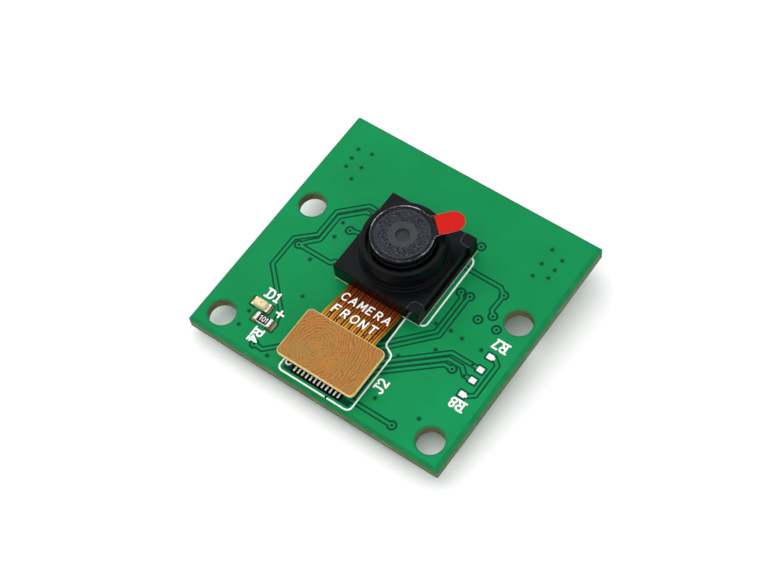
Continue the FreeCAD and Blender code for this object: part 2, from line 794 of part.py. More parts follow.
def light():
    """The indicator light: its base, its end caps and its clear dome with sloping ends."""
    at = ("led_x", "led_y")
    chip_core("led_base", "led_board_height", *at, CHIP_FLOOR)
    end_caps("led_caps", "led_cap_length", "led_board_height", *at, CHIP_FLOOR)
    dome = new_part("led_dome", *at, CHIP_FLOOR + " + led_board_height")
    profile = new_sketch(dome, "XZ_Plane", "-(chip_width - 2 * chip_cap_skin) / 2")
    outline(profile, [
        ("-led_dome_length / 2", "0"),
        ("led_dome_length / 2", "0"),
        ("led_dome_top / 2", "led_dome_height"),
        ("-led_dome_top / 2", "led_dome_height"),
    ])
    solid = pad(dome, profile, "chip_width - 2 * chip_cap_skin")
    round_edges(dome, solid, "led_dome_round",
                lambda middle, span: 0.01 < middle.z < size("led_dome_height") - 0.01)


def solder_pads():
    """Tinned pads on the board's front: two under each chip part and four left bare."""
    body = new_part("solder_pads", "0", "0", FRONT_FACE)
    sketch = new_sketch(body)
    for x, y in (("led_x", "led_y"), ("resistor_x", "resistor_y")):
        for side in ("-", "+"):
            rectangle(sketch, "solder_pad_width", "solder_pad_depth",
                      "%s %s solder_pad_offset" % (x, side), y)
    for number in ("one", "two", "three", "four"):
        rectangle(sketch, "spare_pad_width", "spare_pad_depth", "spare_pads_x",
                  "spare_pad_%s_y" % number)
    pad(body, sketch, "pad_height")


def ribbon_socket():
    """The ribbon cable socket: its housing, its row of contacts and its two hold-down tabs."""
    at = ("socket_x", "socket_y", "0", BACK)
    body = block("ribbon_housing", "socket_width", "socket_depth", "socket_height", *at)
    room = new_sketch(body, "XZ_Plane", "-socket_depth / 2")
    rectangle(room, "ribbon_room_width", "ribbon_room_high - ribbon_room_low", "0",
              "(ribbon_room_high + ribbon_room_low) / 2")
    pocket(body, room, "ribbon_room_depth", backward=True)
    first_x = "-ribbon_pitch * (ribbon_ways - 1) / 2"
    slot_sketch = new_sketch(body, "XZ_Plane", "socket_depth / 2")
    rectangle(slot_sketch, "contact_slot_width", "contact_slot_height", first_x,
              "contact_slot_height / 2")
    slot = pocket(body, slot_sketch, "contact_slot_depth")
    repeat(body, slot, "ribbon_pitch", "ribbon_ways")

    contacts = new_part("ribbon_contacts", *at)
    profile = new_sketch(contacts, "YZ_Plane", first_x + " - ribbon_contact_width / 2")
    beam_high = "ribbon_contact_low + ribbon_contact_thickness"
    rear = "-ribbon_contact_rear"
    outline(profile, [
        ("-ribbon_tail_reach", "0"),
        (rear + " + ribbon_contact_thickness", "0"),
        (rear + " + ribbon_contact_thickness", "ribbon_contact_low"),
        ("ribbon_contact_reach", "ribbon_contact_low"),
        ("ribbon_contact_reach", beam_high),
        (rear, beam_high),
        (rear, "ribbon_tail_thickness"),
        ("-ribbon_tail_reach", "ribbon_tail_thickness"),
    ])
    strip = pad(contacts, profile, "ribbon_contact_width")
    repeat(contacts, strip, "ribbon_pitch", "ribbon_ways")

    tabs = new_part("ribbon_hold_downs", *at)
    profile = new_sketch(tabs, "XZ_Plane", "-tab_foot_y - tab_foot_depth / 2")
    for side in ("-", ""):
        outline(profile, [
            ("%ssocket_width / 2" % side, "0"),
            ("%s(socket_width / 2 + tab_foot_width)" % side, "0"),
            ("%s(socket_width / 2 + tab_foot_width)" % side, "tab_foot_height"),
            ("%s(socket_width / 2 + tab_foot_height)" % side, "tab_foot_height"),
            ("%s(socket_width / 2 + tab_foot_height)" % side, "tab_wall_height"),
            ("%ssocket_width / 2" % side, "tab_wall_height"),
        ])
    pad(tabs, profile, "tab_foot_depth")


def ribbon_latch():
    """The latch: a bar across the socket's mouth with a slot for the cable, a tongue that
    wedges the cable against the contacts, and an arm beside each end of the housing."""
    body = new_part("ribbon_latch", "socket_x", "socket_y", "0", BACK)
    near = "socket_depth / 2 + latch_gap"
    bar = new_sketch(body, lift="latch_low")
    rectangle(bar, "latch_width", "latch_bar_depth", "0", near + " + latch_bar_depth / 2")
    solid = pad(body, bar, "latch_high - latch_low")
    far = size("socket_depth") / 2 + size("latch_gap") + size("latch_bar_depth")
    round_edges(body, solid, "latch_edge", lambda middle, span: abs(middle.y - far) < 0.001)
    doc.recompute()
    tongue = new_sketch(body, lift="latch_tongue_low")
    rectangle(tongue, "latch_tongue_width", "latch_tongue_reach + latch_gap", "0",
              near + " - latch_tongue_reach / 2 + latch_gap / 2")
    pad(body, tongue, "latch_tongue_high - latch_tongue_low")
    arms = new_sketch(body, lift="latch_arm_low")
    for side in ("-", ""):
        rectangle(arms, "latch_arm_width", "latch_arm_reach + latch_gap",
                  side + "(latch_arm_inside + latch_arm_width / 2)",
                  near + " - latch_arm_reach / 2 + latch_gap / 2")
    pad(body, arms, "latch_arm_high - latch_arm_low")
    slot = new_sketch(body, "XZ_Plane", "-socket_depth / 2 - latch_gap - latch_bar_depth")
    rectangle(slot, "ribbon_room_width", "latch_slot_high - latch_slot_low", "0",
              "(latch_slot_high + latch_slot_low) / 2")
    pocket(body, slot, "latch_bar_depth", backward=True)


def lead_profile(sketch, side):
    """One gull-wing lead, seen from the end of its row: foot, riser and shoulder."""
    waist = "small_outline_waist / 2"
    shoulder_low = "lead_shoulder_high - lead_thickness"
    outline(sketch, [
        ("%slead_reach" % side, "0"),
        ("%slead_reach" % side, "lead_thickness"),
        ("%s(lead_knee + lead_thickness)" % side, "lead_thickness"),
        ("%s(lead_knee + lead_thickness / 2)" % side, "lead_shoulder_high"),
        ("%s%s" % (side, waist), "lead_shoulder_high"),
        ("%s%s" % (side, waist), shoulder_low),
        ("%s(lead_knee - lead_thickness / 2)" % side, shoulder_low),
        ("%slead_knee" % side, "0"),
    ])


def small_outline(name, x, y, near_leads, near_pitch):
    """A moulded transistor package: near_leads on one long side and two on the other."""
    at = (x, y, "0", BACK)
    body = new_part(name + "_body", *at)
    section = new_sketch(body, "YZ_Plane", "-small_outline_length / 2")
    outline(section, [
        ("-small_outline_top / 2", "small_outline_low"),
        ("small_outline_top / 2", "small_outline_low"),
        ("small_outline_waist / 2", "small_outline_waist_low"),
        ("small_outline_waist / 2", "small_outline_waist_high"),
        ("small_outline_top / 2", "small_outline_high"),
        ("-small_outline_top / 2", "small_outline_high"),
        ("-small_outline_waist / 2", "small_outline_waist_high"),
        ("-small_outline_waist / 2", "small_outline_waist_low"),
    ])
    pad(body, section, "small_outline_length")

    leads = new_part(name + "_leads", *at)
    rows = (("-", near_pitch, near_leads), ("", "2 * lead_pitch", "2"))
    for side, pitch, count in rows:
        first_x = "-(%s) * (%s - 1) / 2 - lead_width / 2" % (pitch, count)
        profile = new_sketch(leads, "YZ_Plane", first_x)
        lead_profile(profile, side)
        lead = pad(leads, profile, "lead_width")
        leads.Tip = lead
        if count != "1":
            repeat(leads, lead, pitch, count)


def oscillator(x, y):
    """The clock oscillator: its ceramic base and its metal lid."""
    block("oscillator_base", "oscillator_width", "oscillator_depth", "oscillator_base_height",
          x, y, "0", BACK)
    lid = block("oscillator_lid", "oscillator_width - 2 * oscillator_lid_margin",
                "oscillator_depth - 2 * oscillator_lid_margin", "oscillator_lid_height",
                x, y, "-oscillator_base_height", BACK)
    round_edges(lid, lid.Tip, "oscillator_lid_corner", lambda middle, span: is_upright(span))


def back_of_board():
    """The parts on the back: the ribbon socket, three voltage regulators, the light's
    switching transistor, the oscillator, and chip capacitors and resistors."""
    ribbon_socket()
    ribbon_latch()
    for number, (x, y) in enumerate(REGULATOR_PLACES, start=1):
        small_outline("regulator_%d" % number, x, y, "3", "lead_pitch")
    small_outline("transistor", "-5.8", "3.4", "1", "lead_pitch")
    oscillator("4.6", "5.0")
    for number, (x, y, turn) in enumerate(CAPACITOR_PLACES, start=1):
        capacitor("capacitor_%d" % number, x, y, "0", turn)
    for number, (x, y, turn) in enumerate(BACK_RESISTOR_PLACES, start=1):
        resistor("back_resistor_%d" % number, x, y, "0", turn)


def check_and_export():
    """Stop at any failed object or cut that removed nothing, then write one file per part."""
    doc.recompute()
    for item in doc.Objects:
        if "Invalid" in item.State or "Error" in item.State:
            raise RuntimeError("%s (%s) failed: %s" % (item.Name, item.Label, item.State))
        if item.TypeId in ("PartDesign::Pocket", "PartDesign::Groove"):
            before, after = item.BaseFeature.Shape.Volume, item.Shape.Volume
            if before - after < 1e-4:
                raise RuntimeError("%s in %s cut nothing" % (item.Name, item.getParent().Label))
    os.makedirs("parts", exist_ok=True)
    for item in parts:
        shape = item.Shape
        if shape.isNull() or not shape.isValid() or not shape.Solids:
            raise RuntimeError(item.Label + " has no valid shape")
        shape.exportStep(os.path.join("parts", item.Label + ".step"))
        print("%-26s %3d solids %10.4f mm3" % (item.Label, len(shape.Solids), shape.Volume))
    print(len(parts), "parts")


fill_sheet()
circuit_board()
module_layers()
lens_holder()
lens_barrel()
lens_stack()
lens_film()
flex_circuit()
flex_stiffener()
mezzanine_header()
mezzanine_plug()
resistor("resistor", "resistor_x", "resistor_y", CHIP_FLOOR)
light()
solder_pads()
back_of_board()
check_and_export()
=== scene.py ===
"""The looks of a bare camera board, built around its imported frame.

Lengths are in millimetres in the frame of the part, and become metres as a mesh is made.
Places on the board are counted from its front left corner, as the board's own drawing would.
"""

import json
import math

import bmesh
import bpy
from mathutils import Matrix, Vector
from mathutils.geometry import delaunay_2d_cdt


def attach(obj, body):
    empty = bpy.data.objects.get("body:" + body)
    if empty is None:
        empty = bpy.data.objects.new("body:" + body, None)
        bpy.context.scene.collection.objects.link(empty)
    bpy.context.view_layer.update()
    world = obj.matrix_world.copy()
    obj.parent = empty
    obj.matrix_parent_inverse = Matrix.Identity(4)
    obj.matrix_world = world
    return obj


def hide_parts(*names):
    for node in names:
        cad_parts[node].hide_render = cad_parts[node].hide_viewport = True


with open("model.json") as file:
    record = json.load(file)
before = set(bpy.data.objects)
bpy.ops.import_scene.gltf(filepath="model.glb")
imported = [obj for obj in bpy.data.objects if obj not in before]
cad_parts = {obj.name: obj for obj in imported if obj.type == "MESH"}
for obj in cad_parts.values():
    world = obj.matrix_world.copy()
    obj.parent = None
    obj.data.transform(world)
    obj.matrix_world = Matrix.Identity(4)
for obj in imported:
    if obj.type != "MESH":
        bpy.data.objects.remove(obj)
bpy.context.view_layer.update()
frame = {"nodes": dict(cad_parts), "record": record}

MM = 0.001

# the board and what stands on it
BOARD_X, BOARD_Y = -12.5, -8.25
BOARD_WIDTH, BOARD_DEPTH = 25.0, 24.0
BOARD_CORNER = 0.15
BOARD_TOP, BOARD_BOTTOM = 1.0, 0.0
MASK_HEIGHT = 0.035
ETCH_DEPTH = 0.028
HOLE_RADIUS = 1.2
HOLE_RIM = 0.14
HOLES = [(2.0, 2.0), (23.0, 2.0), (2.0, 14.5), (23.0, 14.5)]
MODULE = (-0.3, 5.75)

TRACK_WIDTH = 0.24
TRACK_GAP = 0.15
RING_RADIUS = 0.27
DRILL_RADIUS = 0.11
HALO_RADIUS = 0.24
SILK_WIDTH = 0.145
LETTER_WIDTH = 0.165
SILK_HEIGHT = 0.014
LATHE_STEPS = 96


# ---- shapes in the plane

def arc(x, y, radius_x, radius_y, start, end, steps=10):
    """Points along part of an ellipse, from one angle to another in degrees."""
    points = []
    for i in range(steps + 1):
        angle = math.radians(start + (end - start) * i / steps)
        points.append((x + radius_x * math.cos(angle), y + radius_y * math.sin(angle)))
    return points


def circle(x, y, radius, steps=24):
    """Points round a circle, without a repeated last point."""
    return arc(x, y, radius, radius, 0, 360, steps)[:-1]


def rounded(x, y, width, depth, radius, steps=6):
    """Points round a rectangle with round corners, given its middle."""
    points = []
    for sign_x, sign_y, start in ((1, 1, 0), (-1, 1, 90), (-1, -1, 180), (1, -1, 270)):
        corner_x = x + sign_x * (width / 2 - radius)
        corner_y = y + sign_y * (depth / 2 - radius)
        points += arc(corner_x, corner_y, radius, radius, start, start + 90, steps)
    return points


def at_height(outline, height):
    """An outline laid level in space."""
    return [(x, y, height) for x, y in outline]


def to_segment(point, start, end):
    """How far a point is from a segment."""
    along = (end[0] - start[0], end[1] - start[1])
    offset = (point[0] - start[0], point[1] - start[1])
    length = along[0] ** 2 + along[1] ** 2
    share = 0 if length == 0 else (offset[0] * along[0] + offset[1] * along[1]) / length
    share = min(1, max(0, share))
    return math.hypot(offset[0] - share * along[0], offset[1] - share * along[1])


def stadium(start, end, radius, steps=7):
    """The outline round a segment at a distance."""
    angle = math.degrees(math.atan2(end[1] - start[1], end[0] - start[0]))
    return (arc(end[0], end[1], radius, radius, angle - 90, angle + 90, steps)
            + arc(start[0], start[1], radius, radius, angle + 90, angle + 270, steps))


def shifted(points, x=0.0, y=0.0, scale=1.0, turn=0.0):
    """Points scaled, turned by an angle in degrees, and moved."""
    cos, sin = math.cos(math.radians(turn)), math.sin(math.radians(turn))
    return [(x + scale * (px * cos - py * sin), y + scale * (px * sin + py * cos)) for px, py in points]


# ---- meshes

def turn_outwards(piece):
    """Point the faces of a closed mesh outwards."""
    work = bmesh.new()
    work.from_mesh(piece.data)
    bmesh.ops.recalc_face_normals(work, faces=work.faces)
    work.to_mesh(piece.data)
    work.free()


class Solid:
    """Gathers points and faces of several simple shapes, in millimetres, for one piece."""

    def __init__(self):
        self.points, self.faces, self.picks = [], [], []

    def face(self, indices, pick=0):
        self.faces.append(indices)
        self.picks.append(pick)

    def loft(self, loops, pick=0, caps=(True, True), cap_pick=None):
        """Join closed loops of equally many points, one above the other, and cap the ends."""
        base, count = len(self.points), len(loops[0])
        for loop in loops:
            self.points += loop
        for level in range(len(loops) - 1):
            low = base + level * count
            for i in range(count):
                j = (i + 1) % count
                self.face((low + i, low + j, low + count + j, low + count + i), pick)
        if caps[0]:
            self.face(tuple(range(base + count - 1, base - 1, -1)), pick)
        if caps[1]:
            top = base + (len(loops) - 1) * count
            self.face(tuple(range(top, top + count)), pick if cap_pick is None else cap_pick)

    def lathe(self, profile, pick=0):
        """Turn a profile of (radius, height) points about the lens axis."""
        self.loft([at_height(circle(*MODULE, radius, LATHE_STEPS), height) for radius, height in profile],
                  pick, caps=(False, False))

    def look_to(self, up):
        """Turn every face over for the back of the board, where up is -1."""
        if up < 0:
            self.faces = [face[::-1] for face in self.faces]

    def strip(self, rows):
        """Join open rows of equally many points, one beside the other."""
        base, count = len(self.points), len(rows[0])
        for row in rows:
            self.points += row
        for low in range(base, base + (len(rows) - 1) * count, count):
            for i in range(low, low + count - 1):
                self.face((i, i + 1, i + count + 1, i + count))

    def build(self, name, materials, body="root", smooth=None, closed=False):
        """Make one mesh that rides on a body, smoothed up to an angle, and pointed outwards if closed."""
        mesh = bpy.data.meshes.new(name)
        mesh.from_pydata([Vector(p) * MM for p in self.points], [], self.faces)
        for material in materials:
            mesh.materials.append(material)
        mesh.polygons.foreach_set("material_index", self.picks)
        if smooth is not None:
            mesh.shade_smooth()
            mesh.set_sharp_from_angle(angle=math.radians(smooth))
        mesh.update()
        piece = bpy.data.objects.new(name, mesh)
        bpy.context.scene.collection.objects.link(piece)
        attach(piece, body)
        if closed:
            turn_outwards(piece)
        return piece


# ---- materials

def srgb(red, green, blue):
    """A linear colour from display values of 0 to 255."""
    linear = []
    for value in (red, green, blue):
        share = value / 255
        linear.append(share / 12.92 if share <= 0.04045 else ((share + 0.055) / 1.055) ** 2.4)
    return (*linear, 1)


class Shader:
    """One node material, built up from a few kinds of texture."""

    def __init__(self, name, colour, roughness=0.5, metal=0.0, specular=0.5):
        self.material = bpy.data.materials.new(name)
        self.material.use_nodes = True
        self.nodes = self.material.node_tree.nodes
        self.links = self.material.node_tree.links
        self.surface = self.nodes["Principled BSDF"]
        self.set("Base Color", srgb(*colour))
        self.set("Roughness", roughness)
        self.set("Metallic", metal)
        self.set("Specular IOR Level", specular)
        self.place = self.nodes.new("ShaderNodeTexCoord").outputs["Object"]

    def set(self, name, value):
        self.surface.inputs[name].default_value = value

    def texture(self, kind, stretch=(1, 1, 1), moved=(0, 0, 0), **inputs):
        """Add a texture whose scale counts per millimetre, stretched along the axes and moved."""
        mapping = self.nodes.new("ShaderNodeMapping")
        mapping.inputs["Location"].default_value = moved
        mapping.inputs["Scale"].default_value = [s / MM for s in stretch]
        self.links.new(self.place, mapping.inputs["Vector"])
        node = self.nodes.new("ShaderNodeTex" + kind)
        self.links.new(mapping.outputs["Vector"], node.inputs["Vector"])
        for name, value in inputs.items():
            node.inputs[name.replace("_", " ")].default_value = value
        return node.outputs["Distance" if kind == "Voronoi" else "Fac"]

    def ramp(self, value, stops):
        """Turn a value into display colours, or into plain numbers, at given places."""
        node = self.nodes.new("ShaderNodeValToRGB")
        elements = node.color_ramp.elements
        while len(elements) < len(stops):
            elements.new(0.5)
        for element, (place, colour) in zip(elements, stops):
            element.position = place
            element.color = srgb(*colour) if isinstance(colour, tuple) else (colour, colour, colour, 1)
        self.links.new(value, node.inputs["Fac"])
        return node.outputs["Color"]

    def mix(self, factor, first, second, kind="MIX"):
        """Mix two colours by a factor."""
        node = self.nodes.new("ShaderNodeMix")
        node.data_type, node.blend_type = "RGBA", kind
        sockets = {"Factor": node.inputs[0], "A": node.inputs[6], "B": node.inputs[7]}
        for name, value in (("Factor", factor), ("A", first), ("B", second)):
            if isinstance(value, bpy.types.NodeSocket):
                self.links.new(value, sockets[name])
            else:
                sockets[name].default_value = value
        return node.outputs[2]

    def paint(self, value, name="Base Color"):
        self.links.new(value, self.surface.inputs[name])
        return self

    def bump(self, height, distance, strength=1.0):
        node = self.nodes.new("ShaderNodeBump")
        node.inputs["Distance"].default_value = distance * MM
        node.inputs["Strength"].default_value = strength
        self.links.new(height, node.inputs["Height"])
        self.links.new(node.outputs["Normal"], self.surface.inputs["Normal"])
        return self


def mottled(name, low, high, scale, roughness, specular=0.5, grain=0.0, metal=0.0):
    """A material whose colour drifts between two tones, with a fine grain in its surface."""
    shader = Shader(name, low, roughness, metal, specular)
    cloud = shader.texture("Noise", Scale=scale, Detail=4.0, Roughness=0.6)
    shader.paint(shader.ramp(cloud, [(0.3, low), (0.7, high)]))
    if grain:
        fine = shader.texture("Noise", Scale=14.0, Detail=3.0, Roughness=0.6)
        shader.bump(fine, grain)
    return shader


def fibre_board():
    """The cut edge of glass fibre board: thin layers, with streaks along them."""
    shader = Shader("fibre_board", (150, 140, 80), 0.6)
    layers = shader.texture("Noise", stretch=(0.6, 0.6, 9.0), Scale=1.0, Detail=5.0, Roughness=0.7)
    streaks = shader.ramp(layers, [(0.3, (44, 74, 40)), (0.5, (92, 86, 48)),
                                   (0.72, (160, 148, 98))])
    shader.paint(streaks)
    return shader.bump(layers, 0.02)


def stiffener_face():
    """Golden laminate under clear film: bowed fibres, with small dark specks between them."""
    shader = Shader("golden_laminate", (200, 140, 60), 0.42, specular=0.2)
    drift = shader.texture("Noise", Scale=0.55, Detail=3.0, Roughness=0.55, Distortion=0.8)
    bows = shader.texture("Wave", (1, 0.8, 0), (1.57, 4.08, 0), Scale=1.3, Distortion=9.0,
                          Detail=2.5, Detail_Scale=0.8)
    bows.node.wave_type, bows.node.rings_direction = "RINGS", "SPHERICAL"
    rings = shader.ramp(bows, [(0.05, (116, 82, 44)), (0.45, (172, 112, 38))])
    cloud = shader.ramp(drift, [(0.35, (144, 116, 54)), (0.65, (176, 110, 36))])
    patches = shader.texture("Noise", Scale=0.35, Detail=2.0)
    wear_and_edge_highlight = shader.ramp(patches, [(0.4, 0.2), (0.6, 0.8)])
    base = shader.mix(wear_and_edge_highlight, cloud, rings)
    specks = shader.texture("Voronoi", Scale=3.4)
    dots = shader.ramp(specks, [(0.1, 0.85), (0.3, 0.0)])
    return shader.paint(shader.mix(dots, base, srgb(122, 68, 32)))


def flex_film(name, near, between, far):
    """Amber film on the flexible circuit, darker towards the holder: painted shade and reflection of the
    holder over it.
    """
    shader = Shader(name, between, 0.35, specular=0.12)
    apart = shader.nodes.new("ShaderNodeSeparateXYZ")
    shader.links.new(shader.place, apart.inputs["Vector"])
    along = shader.nodes.new("ShaderNodeMapRange")
    shader.links.new(apart.outputs["Y"], along.inputs["Value"])
    along.inputs["From Min"].default_value = 1.8 * MM
    along.inputs["From Max"].default_value = -2.4 * MM
    holder_shade_fade = shader.ramp(along.outputs["Result"], [(0.0, near), (0.45, between), (1.0, far)])
    cloud = shader.texture("Noise", stretch=(2.5, 0.7, 1), Scale=1.0, Detail=4.0, Roughness=0.6)
    tone = shader.ramp(cloud, [(0.3, 0.72), (0.7, 1.0)])
    shader.paint(shader.mix(1.0, holder_shade_fade, tone, "MULTIPLY"))
    return shader


def lens_face():
    """The barrel's matt face, seen through the speckled adhesive of the film."""
    shader = Shader("lens_face", (40, 42, 48), 0.55, specular=0.05)
    specks = shader.texture("Noise", Scale=7.5, Detail=3.0, Roughness=0.75)
    shader.paint(shader.ramp(specks, [(0.42, (1, 1, 3)), (0.49, (20, 22, 27)),
                                      (0.57, (80, 83, 95))]))
    return shader.bump(specks, 0.004)


def clear(name, colour, alpha, roughness):
    """A thin clear plastic."""
    shader = Shader(name, colour, roughness, specular=0.25)
    shader.set("Alpha", alpha)
    return shader


def cut_film():
    """The film's cut edge: whitish, and shown only in patches by a noise, as painted glints here and there.
    """
    shader = clear("film_rim", (216, 220, 228), 0.3, 0.25)
    glints = shader.texture("Noise", Scale=0.38, Detail=3.0, Roughness=0.6)
    return shader.paint(shader.ramp(glints, [(0.44, 0.03), (0.53, 0.18), (0.62, 0.85)]), "Alpha")


# A finish that bears the name of a material slot of the frame paints that slot.
# Each plain one has two tones, how finely they mix, roughness, specular level, grain and metal.
PLAIN_FINISHES = {
    "board_mask": ((0, 126, 66), (4, 138, 80), 0.13, 0.45, 0.08, 0.004),
    "mask_dimple": ((0, 98, 58), (0, 106, 64), 2.0, 0.45, 0.1),
    "mask_low": ((0, 62, 44), (0, 74, 50), 0.6, 0.5, 0.08),
    "mask_rim": ((0, 108, 60), (6, 124, 72), 0.9, 0.45, 0.1, 0.006),
    "mask_edge": ((16, 100, 52), (84, 110, 60), 1.5, 0.55, 0.1, 0.01),
    "mask_dot": ((0, 40, 30), (2, 50, 36), 2.0, 0.5, 0.1),
    # laminate: bare board, darkened almost to black as painted shade, mostly the stiffener's shade over the
    # contact opening
    "laminate": ((4, 9, 4), (10, 16, 8), 2.0, 0.6, 0.03),
    "silk": ((244, 246, 244), (255, 255, 255), 3.0, 0.6, 0.5, 0.006),
    "tinned_metal": ((172, 168, 160), (212, 208, 200), 5.0, 0.34, 0.5, 0.01, 0.8),
    "pad_tin": ((202, 204, 202), (228, 228, 226), 4.0, 0.42, 0.5, 0.008, 0.2),
    "solder": ((120, 116, 104), (170, 166, 154), 4.0, 0.35, 0.5, 0.01, 0.7),
    "gold_contacts": ((196, 160, 84), (228, 198, 124), 4.0, 0.32, 0.5, 0.0, 0.85),
    "gold_pad": ((96, 74, 36), (150, 124, 70), 4.0, 0.4, 0.5, 0.0, 0.5),
    "black_moulding": ((5, 7, 10), (9, 12, 16), 2.0, 0.34, 0.08, 0.004),
    "black_barrel": ((6, 7, 10), (11, 12, 15), 2.0, 0.26, 0.12, 0.003),
    "gloss": ((5, 6, 8), (9, 10, 12), 2.0, 0.1, 0.2),
    # a pale grey for thin edge strips: a painted highlight on the barrel's inner step and the holder's pad
    # edges
    "wear_and_edge_highlight": ((34, 38, 42), (60, 64, 70), 3.0, 0.4, 0.2),
    "cone": ((62, 65, 68), (72, 75, 78), 2.0, 0.6, 0.1),
    "pupil": ((40, 43, 46), (50, 52, 55), 1.2, 0.35, 0.2),
    "red_film": ((188, 16, 8), (196, 20, 12), 1.0, 0.4, 0.08),
    "flex_hole": ((44, 10, 4), (64, 18, 6), 3.0, 0.6, 0.1),
    # rim: the stiffener's pale cut edge, also laid on the top's outer band as a painted highlight
    "rim": ((206, 186, 116), (226, 208, 146), 3.0, 0.55, 0.2, 0.006),
    # tail: near white with little metal, so the tinned tails read bright: partly their tin colour, partly a
    # painted highlight
    "tail": ((250, 246, 232), (255, 252, 244), 3.0, 0.4, 0.5, 0.0, 0.1),
    "connector_plastic": ((16, 14, 12), (26, 23, 20), 3.0, 0.5, 0.15, 0.006),
    "pale_ceramic": ((226, 222, 210), (240, 237, 228), 4.0, 0.5, 0.5, 0.008),
    "dark_ceramic": ((60, 56, 52), (78, 72, 66), 4.0, 0.5, 0.5, 0.008),
    "capacitor_ceramic": ((150, 116, 76), (176, 138, 94), 4.0, 0.5, 0.5, 0.008),
    "black_overcoat": ((14, 12, 12), (22, 20, 19), 3.0, 0.35, 0.15, 0.005),
    "cream_resin": ((206, 190, 136), (226, 212, 164), 2.5, 0.35, 0.5, 0.005),
    "package_resin": ((30, 30, 31), (42, 42, 43), 6.0, 0.55, 0.5, 0.012),
    "mark": ((84, 84, 86), (104, 104, 106), 4.0, 0.6),
    "lid_metal": ((196, 190, 176), (218, 212, 200), 3.0, 0.28, 0.5, 0.006, 0.9),
    "socket_plastic": ((206, 198, 180), (222, 214, 198), 2.0, 0.45, 0.5, 0.008),
    "latch_plastic": ((30, 27, 25), (42, 38, 35), 2.0, 0.42, 0.5, 0.008),
    "foam_tape": ((196, 196, 190), (216, 216, 210), 6.0, 0.8, 0.5, 0.02),
    "pale_plate": ((170, 170, 158), (200, 200, 188), 2.0, 0.4, 0.2, 0.004),
    "silicon": ((70, 62, 76), (86, 76, 92), 2.0, 0.15, 0.5, 0.0, 0.6),
}
# three tones, from under the holder outwards; the darker tones near the holder are painted shade and
# reflection of the holder
FLEX_FINISHES = {
    "amber_flex": ((44, 14, 1), (60, 26, 2), (66, 34, 4)),
    "amber_edge": ((66, 70, 6), (116, 104, 10), (190, 146, 40)),
    "copper": ((126, 42, 2), (166, 78, 6), (226, 156, 30)),
}
# colour, opacity and roughness
CLEAR_FINISHES = {
    "clear_film": ((48, 52, 60), 0.12, 0.3),
    "lens_glass": ((160, 170, 190), 0.3, 0.03),
    "filter_glass": ((180, 130, 140), 0.4, 0.03),
}


def make_materials():
    """Every finish of the board, by name."""
    made = {name: mottled(name, *row) for name, row in PLAIN_FINISHES.items()}
    made.update({name: flex_film(name, *row) for name, row in FLEX_FINISHES.items()})
    made.update({name: clear(name, *row) for name, row in CLEAR_FINISHES.items()})
    made.update({"fibre": fibre_board(), "lens_face": lens_face(), "film_rim": cut_film(),
                 "golden_stiffener": stiffener_face()})
    return {name: shader.material for name, shader in made.items()}


def paint_frame(finishes):
    """Give each CAD node the finish of its material slot."""
    for row in frame["record"]["subparts"]:
        node = frame["nodes"][row["node"]]
        node.data.materials.clear()
        # the connector's tails take the near-white tail finish, partly a painted highlight
        finish = "tail" if row["node"] == "header_contacts" else row["material_slot"]
        node.data.materials.append(finishes[finish])


# ---- the copper side of the board

FRONT_TRACKS = [
    [(6.83, 16.99), (6.18, 16.99), (4.18, 15.04), (4.18, 12.34), (2.68, 10.99), (2.68, 7.99),
     (6.1, 4.7), (6.3, 3.6)],
    [(6.63, 16.39), (6.33, 16.39), (4.63, 14.74), (4.63, 12.04), (3.88, 11.29), (3.43, 10.69)],
    [(3.43, 10.69), (6.73, 10.69), (6.98, 11.04), (8.2, 11.04)],
    [(6.23, 14.14), (6.93, 14.34), (8.2, 14.34)],
    [(6.05, 1.15), (6.9, 1.1), (7.9, 2.1), (9.5, 2.1)],
    [(15.9, 16.45), (19.9, 16.45), (20.3, 16.15), (20.57, 15.95), (20.5, 14.3), (20.9, 13.85)],
    [(17.45, 14.3), (17.85, 13.8), (17.85, 10.2), (15.3, 7.45), (14.5, 6.6)],
    [(18.3, 14.35), (18.25, 13.8), (18.25, 10.0), (15.5, 7.05), (14.6, 6.1)],
    [(15.0, 4.9), (16.3, 6.05), (20.0, 9.3), (21.9, 9.3), (22.82, 9.28)],
    [(15.0, 4.3), (16.3, 5.45), (20.1, 8.7), (21.4, 8.7), (22.0, 8.15), (22.82, 8.15)],
    [(15.0, 3.7), (16.3, 4.85), (20.1, 8.1), (20.85, 8.1)],
    [(22.82, 10.67), (23.15, 10.75), (23.72, 10.3), (23.72, 7.15), (23.2, 6.75), (22.82, 6.7)],
    [(14.5, 1.4), (19.7, 1.4)],
]
FRONT_RINGS = [(3.43, 10.69), (6.23, 14.14), (6.05, 1.15), (20.57, 15.95), (20.9, 13.85),
               (17.45, 14.3), (18.3, 14.35), (20.85, 8.1), (19.7, 1.4), (20.05, 12.95),
               (21.83, 12.98), (16.4, 18.8)]
FRONT_DOTS = [(5.28, 14.43), (5.48, 12.93), (5.08, 10.03), (6.7, 6.87), (3.8, 3.35), (3.85, 1.9),
              (7.6, 0.88), (17.4, 10.8), (18.8, 10.9), (19.95, 10.8), (21.85, 10.78),
              (22.0, 9.3), (22.0, 8.15), (18.75, 8.8), (16.55, 6.7), (21.15, 3.05), (17.2, 2.6),
              (1.95, 21.2), (3.25, 21.4), (2.0, 20.15), (3.3, 19.8), (2.1, 19.2),
              (3.25, 18.4), (21.5, 21.75), (22.75, 21.3), (21.5, 20.15), (22.75, 20.2),
              (21.5, 18.8), (22.7, 19.3)]
LED_PLACE, RESISTOR_PLACE = (4.4, 4.33), (5.47, 3.23)
SPARE_PADS = [(22.8, 10.67), (22.8, 9.28), (22.8, 8.15), (22.8, 6.7)]
SPARE_PAD_SIZE = (0.56, 0.5)
